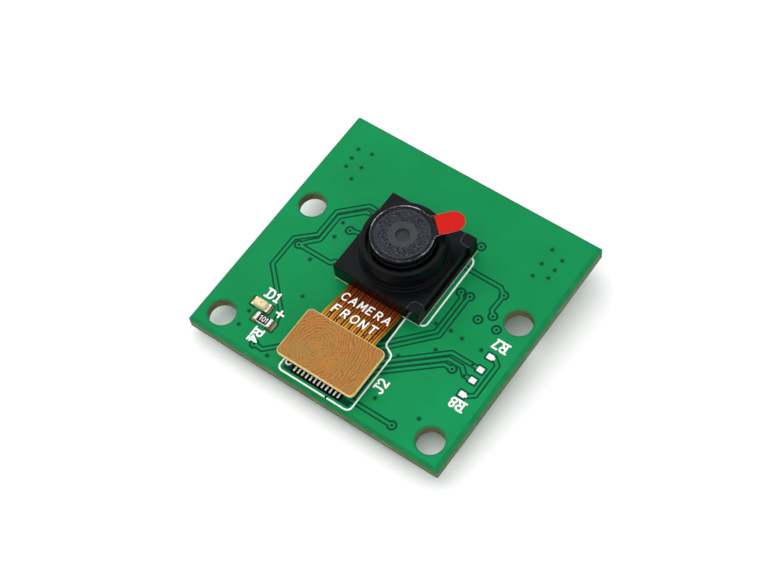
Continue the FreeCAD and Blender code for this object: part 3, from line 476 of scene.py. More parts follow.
PAD_OFFSET, PAD_SIZE = 0.78, (0.62, 0.86)
LED_PAD_OFFSET, LED_PAD_SIZE = 0.72, (0.48, 0.8)
CHIP_PADS = [(LED_PLACE, LED_PAD_OFFSET, LED_PAD_SIZE), (RESISTOR_PLACE, PAD_OFFSET, PAD_SIZE)]
# a patch drawn in the darker etched tone round the connector, which is painted shade of the stiffener and
# the module
SHADE_PATCH = [(9.3, 0.75), (15.9, 0.75), (15.9, 6.2), (15.45, 6.65), (15.02, 7.3), (14.95, 10.4),
              (13.5, 10.4), (13.5, 6.0), (9.3, 6.0)]
RING_GAP = 0.19
OUTLINE_BREAK = (13.85, 0.52, 0.22, 0.22)
# the contact opening shows the near-black laminate, which is painted shade of the stiffener round the tails
CONTACT_OPENING = (12.47, 1.3, 5.0, 1.1)


class MaskSide:
    """One face of the board: where its copper, its etched gaps and its openings are, and an optional patch
    of painted shade.
    """

    def __init__(self, tracks, rings, dots, openings, insets, shade_patch=None):
        self.shade_patch = shade_patch
        self.segments = [pair for track in tracks for pair in zip(track, track[1:])]
        self.rings, self.dots, self.openings, self.insets = rings, dots, openings, insets

    def outlines(self):
        """Every outline at which the surface changes height."""
        made = [board_outline()]
        made += [circle(x, y, HOLE_RADIUS, 48) for x, y in HOLES]
        made += [circle(x, y, HOLE_RADIUS + HOLE_RIM, 48) for x, y in HOLES]
        left, front, right, back = self.insets
        made.append([(left, front), (BOARD_WIDTH - right, front),
                     (BOARD_WIDTH - right, BOARD_DEPTH - back), (left, BOARD_DEPTH - back)])
        for start, end in self.segments:
            made += [stadium(start, end, TRACK_WIDTH / 2), stadium(start, end, TRACK_WIDTH / 2 + TRACK_GAP)]
        for x, y in self.rings:
            made += [circle(x, y, radius, 20)
                     for radius in (DRILL_RADIUS, RING_RADIUS, RING_RADIUS + RING_GAP)]
        for x, y in self.dots:
            made += [circle(x, y, DRILL_RADIUS, 14), circle(x, y, HALO_RADIUS, 14)]
        if self.shade_patch:
            made.append(self.shade_patch)
        for x, y, width, depth, gap in self.openings:
            made.append(rounded(x, y, width, depth, 0.02, 1))
            if gap:
                made.append(rounded(x, y, width + 2 * gap, depth + 2 * gap, 0.1, 3))
        return made

    def kind(self, point):
        """What the surface is at a point: None where the board is open."""
        x, y = point
        from_holes = min(math.dist(point, hole) for hole in HOLES)
        if from_holes < HOLE_RADIUS or not (0 < x < BOARD_WIDTH and 0 < y < BOARD_DEPTH):
            return None
        if any(abs(x - ox) < w / 2 and abs(y - oy) < d / 2 for ox, oy, w, d, gap in self.openings):
            return "laminate"
        from_rings = min(math.dist(point, ring) for ring in self.rings)
        from_dots = min(math.dist(point, dot) for dot in self.dots)
        if min(from_rings, from_dots) < DRILL_RADIUS:
            return "mask_dot"
        from_tracks = min(to_segment(point, *pair) for pair in self.segments)
        if from_rings < RING_RADIUS or from_tracks < TRACK_WIDTH / 2:
            return "board_mask"
        if from_rings < RING_RADIUS + RING_GAP or from_tracks < TRACK_WIDTH / 2 + TRACK_GAP:
            return "mask_low"
        # round each opening the mask lies on bare board and takes the darker etched tone; round the light
        # and the resistor this ring also stands in for painted shade at their feet
        if any(abs(x - ox) < w / 2 + gap and abs(y - oy) < d / 2 + gap
               for ox, oy, w, d, gap in self.openings):
            return "mask_low"
        # inside the patch the mask takes the darker etched tone as painted shade
        if self.shade_patch and inside(point, self.shade_patch):
            return "mask_low"
        if from_dots < HALO_RADIUS:
            return "mask_dimple"
        left, front, right, back = self.insets
        within = left < x < BOARD_WIDTH - right and front < y < BOARD_DEPTH - back
        return "board_mask" if within and from_holes > HOLE_RADIUS + HOLE_RIM else "mask_rim"


def board_outline():
    return rounded(BOARD_WIDTH / 2, BOARD_DEPTH / 2, BOARD_WIDTH, BOARD_DEPTH, BOARD_CORNER, 4)


DEPTHS = {"board_mask": 0.0, "mask_low": ETCH_DEPTH, "mask_dot": 0.06, "laminate": MASK_HEIGHT,
          "mask_dimple": 0.006, "mask_rim": 0.012}


def relief(outlines, kind_of, depths, skirt, place):
    """A surface cut along outlines into flats at several depths, joined by walls.

    kind_of says what is at a point in the plane, or None for nothing, and depths how deep each
    kind lies. Walls along the open edges reach the skirt's depth. The faces pick their material
    by the place of their kind in depths."""
    points, edges = [], []
    for outline in outlines:
        base, count = len(points), len(outline)
        points += [Vector(p) for p in outline]
        edges += [(base + i, base + (i + 1) % count) for i in range(count)]
    flat, _, triangles, _, _, _ = delaunay_2d_cdt(points, edges, [], 0, 1e-5, False)
    kinds = list(depths)
    made, shelf, by_edge = Solid(), {}, {}

    def corner(index, depth):
        if (index, depth) not in shelf:
            shelf[index, depth] = len(made.points)
            made.points.append(place(flat[index].x, flat[index].y, depth))
        return shelf[index, depth]

    for triangle in triangles:
        kind = kind_of(sum((flat[i] for i in triangle), Vector((0, 0))) / 3)
        if kind is None:
            continue
        made.face([corner(i, depths[kind]) for i in triangle], kinds.index(kind))
        for i, j in zip(triangle, list(triangle[1:]) + [triangle[0]]):
            by_edge.setdefault((min(i, j), max(i, j)), []).append((i, j, kind))
    for sides in by_edge.values():
        i, j, kind = sides[0]
        other_depth = depths[sides[1][2]] if len(sides) > 1 else skirt
        depth = depths[kind]
        if depth != other_depth:
            lower = kind if len(sides) == 1 or depth > other_depth else sides[1][2]
            made.face([corner(j, depth), corner(i, depth), corner(i, other_depth),
                       corner(j, other_depth)], kinds.index(lower))
    return made


def on_face(surface, up):
    """What puts a point of the board's plane and a depth in space; up is -1 on the back."""
    def place(x, y, depth):
        return (x + BOARD_X, y + BOARD_Y, surface - up * depth)

    return place


def mask_piece(name, side, surface, up, finishes):
    """The solder mask of one face of the board."""
    made = relief(side.outlines(), side.kind, DEPTHS, MASK_HEIGHT, on_face(surface, up))
    made.look_to(up)
    return made.build(name, [finishes[kind] for kind in DEPTHS])


def core_piece(finishes):
    """The glass fibre core: its scored edge, with mask run over the top, and its hole walls."""
    made = Solid()
    low, high = BOARD_BOTTOM + MASK_HEIGHT, BOARD_TOP - MASK_HEIGHT
    rows = [(low, 0.04), (low + 0.28, 0.02), (low + 0.36, 0.0), (high - 0.42, 0.0), (high, 0.03)]
    loops = []
    for height, inset in rows:
        outline = rounded(BOARD_WIDTH / 2 + BOARD_X, BOARD_DEPTH / 2 + BOARD_Y,
                          BOARD_WIDTH - 2 * inset, BOARD_DEPTH - 2 * inset, BOARD_CORNER, 4)
        loops.append(at_height(outline, height))
    made.loft(loops[:4], 0, caps=(False, False))
    made.loft(loops[3:], 1, caps=(False, False))
    for x, y in HOLES:
        ring = circle(x + BOARD_X, y + BOARD_Y, HOLE_RADIUS, 48)[::-1]
        made.loft([at_height(ring, low), at_height(ring, high)], caps=(False, False))
    return made.build("board_core", [finishes["fibre"], finishes["mask_edge"]], smooth=30)


# ---- lettering

GLYPHS = {
    "A": [[(0, 0), (0.36, 1), (0.72, 0)], [(0.12, 0.33), (0.6, 0.33)]],
    "C": [arc(0.4, 0.5, 0.38, 0.5, 48, 312, 14)],
    "D": [[(0.05, 0), (0.05, 1), (0.32, 1)], arc(0.32, 0.5, 0.36, 0.5, 90, -90, 10), [(0.32, 0), (0.05, 0)]],
    "E": [[(0.6, 0), (0.06, 0), (0.06, 1), (0.6, 1)], [(0.06, 0.52), (0.5, 0.52)]],
    "F": [[(0.06, 0), (0.06, 1), (0.6, 1)], [(0.06, 0.52), (0.5, 0.52)]],
    "J": [[(0.5, 1), (0.5, 0.26)] + arc(0.27, 0.26, 0.23, 0.26, 0, -160, 8)],
    "M": [[(0.04, 0), (0.08, 1), (0.4, 0.3), (0.72, 1), (0.76, 0)]],
    "N": [[(0.06, 0), (0.06, 1), (0.64, 0), (0.64, 1)]],
    "O": [arc(0.4, 0.5, 0.38, 0.5, 0, 360, 20)],
    "R": [[(0.06, 0), (0.06, 1), (0.36, 1)] + arc(0.36, 0.74, 0.26, 0.26, 90, -90, 8) + [(0.06, 0.48)],
          [(0.34, 0.48), (0.64, 0)]],
    "T": [[(0.34, 0), (0.34, 1)], [(0, 1), (0.68, 1)]],
    "0": [arc(0.3, 0.5, 0.26, 0.5, 0, 360, 16)],
    "1": [[(0.12, 0.8), (0.32, 1), (0.32, 0)]],
    "2": [arc(0.3, 0.72, 0.26, 0.28, 165, -35, 9) + [(0.04, 0), (0.6, 0)]],
    "4": [[(0.46, 0), (0.46, 1), (0.02, 0.3), (0.64, 0.3)]],
    "7": [[(0.04, 1), (0.58, 1), (0.26, 0)]],
    "8": [arc(0.3, 0.74, 0.22, 0.26, 0, 360, 14), arc(0.3, 0.25, 0.27, 0.25, 0, 360, 14)],
    "+": [[(0.3, 0.1), (0.3, 0.9)], [(-0.1, 0.5), (0.7, 0.5)]],
}
SERIFS = {"D": [(0.0, 0), (0.0, 1)], "R": [(0.06, 0), (0.06, 1), (0.66, 0)], "1": [(0.32, 0)],
          "4": [(0.46, 0)], "7": [(0.26, 0)], "J": [(0.5, 1)]}


def words(text, pitch, serif=0.0):
    """The strokes of some letters on a line, with their height as the unit."""
    lines = []
    for number, letter in enumerate(text):
        lines += [shifted(line, number * pitch) for line in GLYPHS[letter]]
        if serif:
            lines += [[(number * pitch + x - serif, y), (number * pitch + x + serif, y)]
                      for x, y in SERIFS.get(letter, [])]
    return lines


def ink(lines, width, place):
    """White ink along lines, one sheet with its strokes run together, put where place says."""
    segments = [pair for line in lines for pair in zip(line, line[1:])]
    outlines = [stadium(*pair, width / 2, 6) for pair in segments]

    def kind(point):
        inked = any(to_segment(point, *pair) < width / 2 for pair in segments)
        return "ink" if inked else None

    return relief(outlines, kind, {"ink": -SILK_HEIGHT}, 0.0, place)


def legend_piece(name, lines, finishes, surface=BOARD_TOP, up=1, width=SILK_WIDTH):
    """White ink on one face of the board along the given lines, in board places."""
    made = ink(lines, width, on_face(surface, up))
    made.look_to(up)
    return made.build(name, [finishes["silk"]])


FRONT_LABELS = [
    ("D1", 4.13, 5.2, 0.8, 0.88, 0),
    ("+", 5.92, 4.08, 0.82, 0.8, 0),
    ("R4", 5.26, 2.4, 0.8, 0.84, -90),
    ("J2", 17.38, 3.1, 0.85, 0.8, 90),
    ("R7", 23.53, 12.32, 0.82, 0.84, 180),
    ("R8", 23.51, 6.14, 0.82, 0.84, 180),
]


def front_legend(finishes):
    """The outlines round the module and its connector, and the reference letters."""
    module = [(16.1, 17.55), (16.35, 17.5), (16.62, 17.35), (16.8, 17.0), (16.85, 10.5)]
    module += arc(16.45, 10.4, 0.4, 0.42, 0, -80, 5) + [(16.3, 9.97)]
    socket = [(15.0, 10.4), (15.05, 9.8), (15.1, 7.3)] + arc(15.55, 7.25, 0.45, 0.5, 180, 260, 5)
    socket += [(15.9, 6.55), (16.08, 6.38), (16.15, 6.1), (16.15, 0.95)]
    socket += arc(15.7, 0.92, 0.45, 0.45, 0, -90, 6) + [(14.0, 0.47)]
    front = [(13.7, 0.47), (9.4, 0.47)] + arc(9.4, 0.92, 0.45, 0.45, 270, 180, 6) + [(8.95, 2.2)]
    lines = [module, socket, front, arc(9.45, 1.4, 0.24, 0.24, 0, 360, 16)]
    legend_piece("front_outlines", lines, finishes)
    letters = []
    for text, x, y, height, pitch, turn in FRONT_LABELS:
        letters += [shifted(line, x, y, height, turn) for line in words(text, pitch, 0.2)]
    legend_piece("front_letters", letters, finishes, width=LETTER_WIDTH)


# ---- solder

def domed_pad(made, x, y, width, depth, low, high, pick=0):
    """One solder pad, a little crowned towards its middle."""
    loops = []
    for height, share in ((low, 1.0), (high - 0.012, 1.0), (high - 0.003, 0.86), (high, 0.6)):
        loops.append(at_height(rounded(x, y, width * share, depth * share, 0.05 * share, 2), height))
    made.loft(loops, pick)


def front_pads(finishes):
    """The bare pads, and the pads under the two chip parts."""
    made = Solid()
    low, high = BOARD_TOP - MASK_HEIGHT, BOARD_TOP + 0.038
    for number, (x, y) in enumerate(SPARE_PADS):
        domed_pad(made, x + BOARD_X, y + BOARD_Y, *SPARE_PAD_SIZE, low, high)
        if number in (0, 3):
            domed_pad(made, x + BOARD_X + 0.3, y + BOARD_Y, 0.26, 0.26, low, high - 0.01)
    for place, offset, size in CHIP_PADS:
        for side in (-1, 1):
            domed_pad(made, place[0] + side * offset + BOARD_X, place[1] + BOARD_Y, *size,
                      low, high, 1)
    piece = made.build("solder_pads_detail", [finishes["pad_tin"], finishes["gold_pad"]],
                       smooth=40, closed=True)
    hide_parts("solder_pads")


# ---- the flexible circuit

FLEX_X, FLEX_WIDTH = -0.42, 5.45
FLEX_LOW, FLEX_RISE, FLEX_THICK = 1.25, 0.65, 0.1
FLEX_BEND_START, FLEX_BEND_RUN, FLEX_BEND_RADIUS = 1.15, 3.3, 3.0
STIFFENER = (-0.25, -4.73, 7.7, 4.78, 0.45)
STIFFENER_LOW, STIFFENER_HIGH = 2.0, 2.3
FLEX_INSET = 0.1
SHOULDER_FILLET = 0.35
LEFT_BORDER, RIGHT_BORDER = 0.24, 0.12
FLEX_HOLE_RADIUS = 0.075
FLEX_LINES = 20
FLEX_LINE_WIDTH = 0.13
FLEX_START = MODULE[1] - 4.2


def flex_height(y):
    """The height of the flexible circuit's upper face above the board's back: level, then an
    S of two arcs with a straight between them, then level again."""
    base = FLEX_LOW + FLEX_THICK
    run = FLEX_BEND_START - y
    if run <= 0:
        return base
    if run >= FLEX_BEND_RUN:
        return base + FLEX_RISE
    radius = FLEX_BEND_RADIUS
    straight = math.sqrt(FLEX_BEND_RUN ** 2 + FLEX_RISE ** 2 - 4 * radius * FLEX_RISE)
    turn = 2 * math.atan((FLEX_BEND_RUN - straight) / (4 * radius - FLEX_RISE))
    arc_run, arc_rise = radius * math.sin(turn), radius * (1 - math.cos(turn))
    if run < arc_run:
        return base + radius - math.sqrt(radius ** 2 - run ** 2)
    if run > FLEX_BEND_RUN - arc_run:
        left = FLEX_BEND_RUN - run
        return base + FLEX_RISE - radius + math.sqrt(radius ** 2 - left ** 2)
    return base + arc_rise + (run - arc_run) * math.tan(turn)


def flex_outline():
    """The plan of the flexible circuit: a neck from under the holder to the wide end."""
    x, y, width, depth, _ = STIFFENER
    half, back = width / 2 - FLEX_INSET, y + depth / 2 - FLEX_INSET
    front = y - depth / 2 + FLEX_INSET
    left, right = FLEX_X - FLEX_WIDTH / 2, FLEX_X + FLEX_WIDTH / 2
    fillet = SHOULDER_FILLET
    outline = [(x - half, front), (x + half, front), (x + half, back)]
    outline += arc(right + fillet, back + fillet, fillet, fillet, 270, 180, 6)
    outline += [(right, FLEX_START), (left, FLEX_START)]
    outline += arc(left - fillet, back + fillet, fillet, fillet, 0, -90, 6)
    return outline + [(x - half, back)]


def inside(point, outline):
    """Tell whether a point is inside an outline."""
    x, y = point
    found = False
    for (x1, y1), (x2, y2) in zip(outline, outline[1:] + outline[:1]):
        if (y1 > y) != (y2 > y) and x < x1 + (y - y1) * (x2 - x1) / (y2 - y1):
            found = not found
    return found


def flex_lines():
    """The copper lines of the neck: straight, unevenly wide, and run out at the wide end."""
    lines = []
    first = FLEX_X - FLEX_WIDTH / 2 + LEFT_BORDER + 0.14
    pitch = (FLEX_WIDTH - LEFT_BORDER - RIGHT_BORDER - 0.28) / (FLEX_LINES - 1)
    bottom = STIFFENER[1] + STIFFENER[3] / 2 - 0.3
    for number in range(FLEX_LINES):
        x = first + number * pitch
        wave = 0.03 * math.sin(2.3 * number)
        width = FLEX_LINE_WIDTH * (1 + 0.35 * math.sin(4.1 * number))
        line = [(x + wave, FLEX_START + 0.02), (x + wave, -0.3), (x - wave, -0.9), (x - wave, bottom)]
        lines.append((line, width))
    return lines


FLEX_DOTS = [(1.72, -0.62), (1.42, -0.9), (1.74, -1.2), (1.44, -1.5), (1.76, -1.8), (1.46, -2.1),
             (-1.72, -1.5), (-1.5, -1.72), (-1.72, -1.94), (-2.5, -1.7), (0.62, -1.75), (1.0, -1.95)]


def flex_piece(finishes):
    """The flexible circuit: amber film over copper lines, with its plated holes."""
    outline = flex_outline()
    lines = flex_lines()
    rows = 22
    low_y, high_y = -2.6, FLEX_BEND_START + 0.2
    bands = [low_y + (high_y - low_y) * i / rows for i in range(rows + 1)]
    left, right = FLEX_X - FLEX_WIDTH / 2, FLEX_X + FLEX_WIDTH / 2
    outlines = [outline] + [[(left - 0.5, y), (right + 0.5, y)] for y in bands]
    outlines += [[(left + LEFT_BORDER, low_y), (left + LEFT_BORDER, high_y)],
                 [(right - RIGHT_BORDER, low_y), (right - RIGHT_BORDER, high_y)]]
    for line, width in lines:
        outlines += [stadium(*pair, width / 2, 4) for pair in zip(line, line[1:])]
    outlines += [circle(x, y, FLEX_HOLE_RADIUS, 12) for x, y in FLEX_DOTS]

    def kind(point):
        if not inside(point, outline):
            return None
        if any(math.dist(point, dot) < FLEX_HOLE_RADIUS for dot in FLEX_DOTS):
            return "flex_hole"
        if point[0] - left < LEFT_BORDER or right - point[0] < RIGHT_BORDER:
            return "amber_edge"
        for line, width in lines:
            if any(to_segment(point, *pair) < width / 2 for pair in zip(line, line[1:])):
                return "copper"
        return "amber_flex"

    def place(x, y, depth):
        return (x, y, flex_height(y) - 0.012 - depth)

    depths = {"amber_flex": 0.0, "copper": -0.012, "amber_edge": 0.0001, "flex_hole": 0.03}
    made = relief(outlines, kind, depths, FLEX_THICK - 0.012, place)
    piece = made.build("flex_circuit_detail", [finishes[kind] for kind in depths], smooth=25)
    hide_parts("flex_circuit")


def flex_letters(finishes):
    """Two plain words on the flexible circuit, bent with it."""
    lines = [shifted(line, -2.84, -0.02, 0.76) for line in words("CAMERA", 1.1)]
    lines += [shifted(line, -2.68, -1.5, 0.8) for line in words("FRONT", 1.14)]
    cut = []
    for line in lines:
        for (x1, y1), (x2, y2) in zip(line, line[1:]):
            parts = max(1, round(abs(y2 - y1) / 0.2))
            cut.append([(x1 + (x2 - x1) * i / parts, y1 + (y2 - y1) * i / parts)
                        for i in range(parts + 1)])

    def place(x, y, depth):
        return (x, y, flex_height(y) - depth)

    ink(cut, 0.14, place).build("flex_letters", [finishes["silk"]])


def stiffener_piece(finishes):
    """The stiffener: pale cut edges, a thin pale band round its top that is a painted highlight, and a
    golden top.
    """
    x, y, width, depth, corner = STIFFENER
    made = Solid()
    loops = []
    # the last ring lies flat on the top and takes the pale edge finish, a painted highlight
    for height, inset in ((STIFFENER_LOW, 0.0), (STIFFENER_HIGH - 0.03, 0.0), (STIFFENER_HIGH, 0.03),
                          (STIFFENER_HIGH, 0.06)):
        plan = rounded(x, y, width - 2 * inset, depth - 2 * inset, corner - inset, 8)
        loops.append(at_height(plan, height))
    made.loft(loops, 0, cap_pick=1)
    piece = made.build("flex_stiffener_detail", [finishes["rim"], finishes["golden_stiffener"]],
                       smooth=30, closed=True)
    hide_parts("flex_stiffener")


# ---- the lens

def barrel_piece(finishes):
    """The lens barrel: a fine thread, a rounded rim, a dished face and a conical mouth."""
    thread = []
    turns, low, high = 7, 3.1, 5.3
    for turn in range(turns):
        z = low + (high - low) * turn / turns
        thread += [(2.72, z), (2.72, z + 0.16), (2.66, z + 0.22)]
    made = Solid()
    made.lathe([(2.1, 2.95), (2.68, 2.95)] + thread + [
        (2.72, 5.36), (2.72, 5.8), (2.7, 5.86)], pick=0)
    made.lathe([(2.7, 5.86), (2.68, 5.91), (2.63, 5.94), (2.56, 5.95), (2.3, 5.95)], pick=0)
    # the inner step of the face is pale grey, a painted highlight line
    made.lathe([(2.3, 5.95), (2.22, 5.93), (2.19, 5.89)], pick=3)
    made.lathe([(2.19, 5.89), (1.22, 5.89)], pick=1)
    made.lathe([(1.22, 5.89), (1.16, 5.87), (0.6, 5.79)], pick=2)
    made.lathe([(0.6, 5.79), (0.58, 5.77), (0.58, 5.6), (1.45, 5.6), (1.45, 4.75), (1.75, 4.75),
                (1.75, 4.15), (2.1, 4.15), (2.1, 2.95)], pick=0)
    piece = made.build("lens_barrel_detail",
                       [finishes[name] for name in ("black_barrel", "lens_face", "cone", "wear_and_edge_highlight")],
                       body="lens_barrel", smooth=30, closed=True)
    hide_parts("lens_barrel")
    lens = Solid()
    lens.lathe([(1.4, 5.34), (1.4, 5.38), (1.0, 5.49), (0.6, 5.56), (0.3, 5.59), (0.001, 5.598)])
    lens.build("front_lens_cap", [finishes["pupil"]], body="lens_stack", smooth=60, closed=True)


FILM_RADIUS, TAB_WIDTH, TAB_REACH, TAB_ANGLE = 2.66, 1.9, 5.2, 48
FILM_LOW, FILM_TOP, FILM_LIP = 5.955, 6.0, 0.975


def film_outline():
    """The film's edge: a round disc with a tongue that the red tab is bonded on."""
    half = TAB_WIDTH / 2
    meet = math.degrees(math.asin((half + 0.25) / FILM_RADIUS))
    points = arc(0, 0, FILM_RADIUS, FILM_RADIUS, meet, 360 - meet, 60)
    points += [(2.55, -half - 0.08), (2.8, -half), (TAB_REACH - half, -half)]
    points += arc(TAB_REACH - half, 0, half, half, -90, 90, 14)
    points += [(2.8, half), (2.55, half + 0.08), points[0]]
    return shifted(points, *MODULE, turn=TAB_ANGLE)


def film_rim(finishes):
    """The film's cut edge, which stands up a little, with painted glints in places."""
    outline = film_outline()
    middle = Vector(MODULE)
    inner = [middle + (Vector(p) - middle) * FILM_LIP for p in outline]
    made = Solid()
    made.strip([at_height(outline, FILM_LOW), at_height(outline, FILM_TOP), at_height(inner, FILM_TOP)])
    made.build("film_edge", [finishes["film_rim"]], body="film", smooth=30)


def resistor_digits(finishes):
    """The value on the front resistor."""
    x, y = RESISTOR_PLACE[0] + BOARD_X, RESISTOR_PLACE[1] + BOARD_Y
    lines = [shifted(line, x - 0.37, y - 0.22, 0.44) for line in words("101", 0.66)]
    top = BOARD_TOP + 0.45

    def place(px, py, depth):
        return (px, py, top - depth * 0.5)

    ink(lines, 0.055, place).build("resistor_digits", [finishes["silk"]])


def holder_trim(finishes):
    """The holder's polished front wall, and the soft edges of its two corner pads in pale grey, a painted
    highlight.
    """
    x, y = MODULE
    half, margin = 4.25, 0.07
    wall = [(x - half + margin, y - half - 0.004), (x + half - margin, y - half - 0.004)]
    front = Solid()
    front.strip([at_height(wall, 1.4), at_height(wall, 2.9)])
    front.build("holder_front", [finishes["gloss"]])
    made = Solid()
    right = x + half
    for sign, depth in ((-1, 0.95), (1, 1.1)):
        outer, inner = y + sign * half, y + sign * (half - depth)
        edge = [(right - 1.1, outer)]
        edge += arc(right - 0.65, inner + sign * 0.45, 0.45, 0.45, 180, 270 if sign > 0 else 90, 8)
        edge += [(right - 0.05, inner)]
        rows = []
        for shift, height in ((-0.06, 3.053), (-0.02, 3.13), (0.02, 3.154), (0.08, 3.154)):
            rows.append(at_height([(px + shift, py + sign * shift) for px, py in edge], height))
        made.strip(rows)
    made.build("holder_pad_edges", [finishes["wear_and_edge_highlight"]], smooth=60)


def holder_rings(finishes):
    """The rings round the holder's tower: its rounded lip, a step and a foot."""
    made = Solid()
    made.lathe([(3.06, 5.19), (3.1, 5.205), (3.4, 5.205), (3.47, 5.195), (3.515, 5.15), (3.53, 5.08),
                (3.53, 4.9), (3.515, 4.86)])
    made.lathe([(3.52, 4.55), (3.56, 4.53), (3.565, 4.47), (3.53, 4.44)])
    made.lathe([(3.6, 3.5), (3.66, 3.46), (3.68, 3.3), (3.72, 3.12), (3.8, 3.055)])
    made.build("holder_rings", [finishes["black_moulding"]], smooth=50)


# ---- chip parts

CHIP_LENGTH, CHIP_WIDTH, CAP_LENGTH, CAP_SKIN = 1.6, 0.8, 0.3, 0.03
CHIP_FLOOR = BOARD_TOP + 0.04


def placed(points, x, y, floor, up=1, quarter=False):
    """Points of a part stood on the board: turned upright if asked, and mirrored below it."""
    made = []
    for px, py, pz in points:
        if quarter:
            px, py = -py, px
        made.append((x + up * px, y + py, floor + up * pz))
    return made


def pillow(x, y, width, depth, low, high, edge):
    """The loops of a block whose upright and top edges are rounded off."""
    loops = []
    for height, inset in ((low, 0.0), (high - edge, 0.0), (high - 0.3 * edge, 0.3 * edge), (high, edge)):
        loops.append(at_height(rounded(x, y, width - 2 * inset, depth - 2 * inset, edge, 3), height))
    return loops


def stand(made, place, name, finishes, finish, replaced=None):
    """Put a small part's points in their place, make its mesh, and let it stand in for a node."""
    made.points = placed(made.points, *place)
    piece = made.build(name, [finishes[finish]], smooth=40, closed=True)
    if replaced:
        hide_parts(replaced)


def chip(name, place, height, finishes, body_finish):
    """A chip part's rounded end caps, its core between them, and solder up both ends."""
    caps, core, solder = Solid(), Solid(), Solid()
    for side in (-1, 1):
        middle = side * (CHIP_LENGTH - CAP_LENGTH) / 2
        caps.loft(pillow(middle, 0, CAP_LENGTH, CHIP_WIDTH, 0.0, height, 0.05))
        end = side * CHIP_LENGTH / 2
        fillet = []
        for rise, reach, half in ((0.0, 0.24, 0.38), (0.06, 0.13, 0.37), (0.16, 0.05, 0.34),
                                  (0.26, 0.01, 0.3)):
            outer = end + side * reach
            inner = end - side * 0.05
            fillet.append([(inner, -half, rise), (outer, -half * 0.9, rise), (outer, half * 0.9, rise),
                           (inner, half, rise)])
        solder.loft(fillet)
    core.loft(pillow(0, 0, CHIP_LENGTH - 2 * CAP_SKIN, CHIP_WIDTH - 2 * CAP_SKIN, 0.0,
                     height - CAP_SKIN, 0.03))
    stand(caps, place, name + "_caps_detail", finishes, "tinned_metal", name + "_caps")
    stand(core, place, name + "_core_detail", finishes, body_finish, name + "_core")
    stand(solder, place, name + "_solder", finishes, "solder")


def overcoat(name, place, finishes):
    """A resistor's glazed black top, a little domed."""
    made = Solid()
    made.loft(pillow(0, 0, CHIP_LENGTH - 2 * CAP_LENGTH, CHIP_WIDTH - 2 * CAP_SKIN, 0.37, 0.41, 0.035))
    stand(made, place, name + "_overcoat_detail", finishes, "black_overcoat", name + "_overcoat")


CAPACITORS = [(-3.0, -4.6, True), (3.2, -5.0, True), (1.4, 0.6, False), (7.6, 1.4, True), (-2.4, 7.2, False)]
BACK_RESISTORS = [(-5.8, 7.2, False), (-1.2, 3.6, True)]


def chips(finishes):
    """All the chip resistors and capacitors."""
    front = (RESISTOR_PLACE[0] + BOARD_X, RESISTOR_PLACE[1] + BOARD_Y, CHIP_FLOOR)
    chip("resistor", front, 0.4, finishes, "pale_ceramic")
    overcoat("resistor", front, finishes)
    for number, (x, y, quarter) in enumerate(CAPACITORS, start=1):
        chip("capacitor_%d" % number, (x, y, BOARD_BOTTOM, -1, quarter), 0.75, finishes, "capacitor_ceramic")
    for number, (x, y, quarter) in enumerate(BACK_RESISTORS, start=1):
        place = (x, y, BOARD_BOTTOM, -1, quarter)
        chip("back_resistor_%d" % number, place, 0.4, finishes, "pale_ceramic")
        overcoat("back_resistor_%d" % number, place, finishes)


def light(finishes):
    """The indicator light: its notched caps, its cream dome, and the dark die in the middle."""
    place = (LED_PLACE[0] + BOARD_X, LED_PLACE[1] + BOARD_Y, CHIP_FLOOR)
    caps, dome, die = Solid(), Solid(), Solid()
    for side in (-1, 1):
        end = side * CHIP_LENGTH / 2
        inner = end - side * 0.26
        notch = arc(end, 0, 0.15, 0.2, 90 * side, 90 * side + 180, 8)
        outline = [(end, side * 0.4), (inner, side * 0.4), (inner, -side * 0.4), (end, -side * 0.4)]
        outline += notch[::-1]
        caps.loft([at_height(outline, 0.0), at_height(outline, 0.2)])
    stand(caps, place, "led_caps_detail", finishes, "tinned_metal", "led_caps")
    loops = []
    for rise, length, width, corner in (
            (0.2, 1.32, 0.76, 0.2), (0.34, 1.26, 0.74, 0.24), (0.45, 1.16, 0.68, 0.26),
            (0.53, 1.0, 0.56, 0.24), (0.56, 0.7, 0.36, 0.16)):
        loops.append(at_height(rounded(-0.05, 0, length, width, corner, 5), rise))
    dome.loft(loops)
    stand(dome, place, "led_dome_detail", finishes, "cream_resin", "led_dome")
    die.loft([at_height(circle(0.02, 0, 0.055, 12), z) for z in (0.55, 0.565)])
    stand(die, place, "led_die", finishes, "dark_ceramic")


# ---- the back of the board

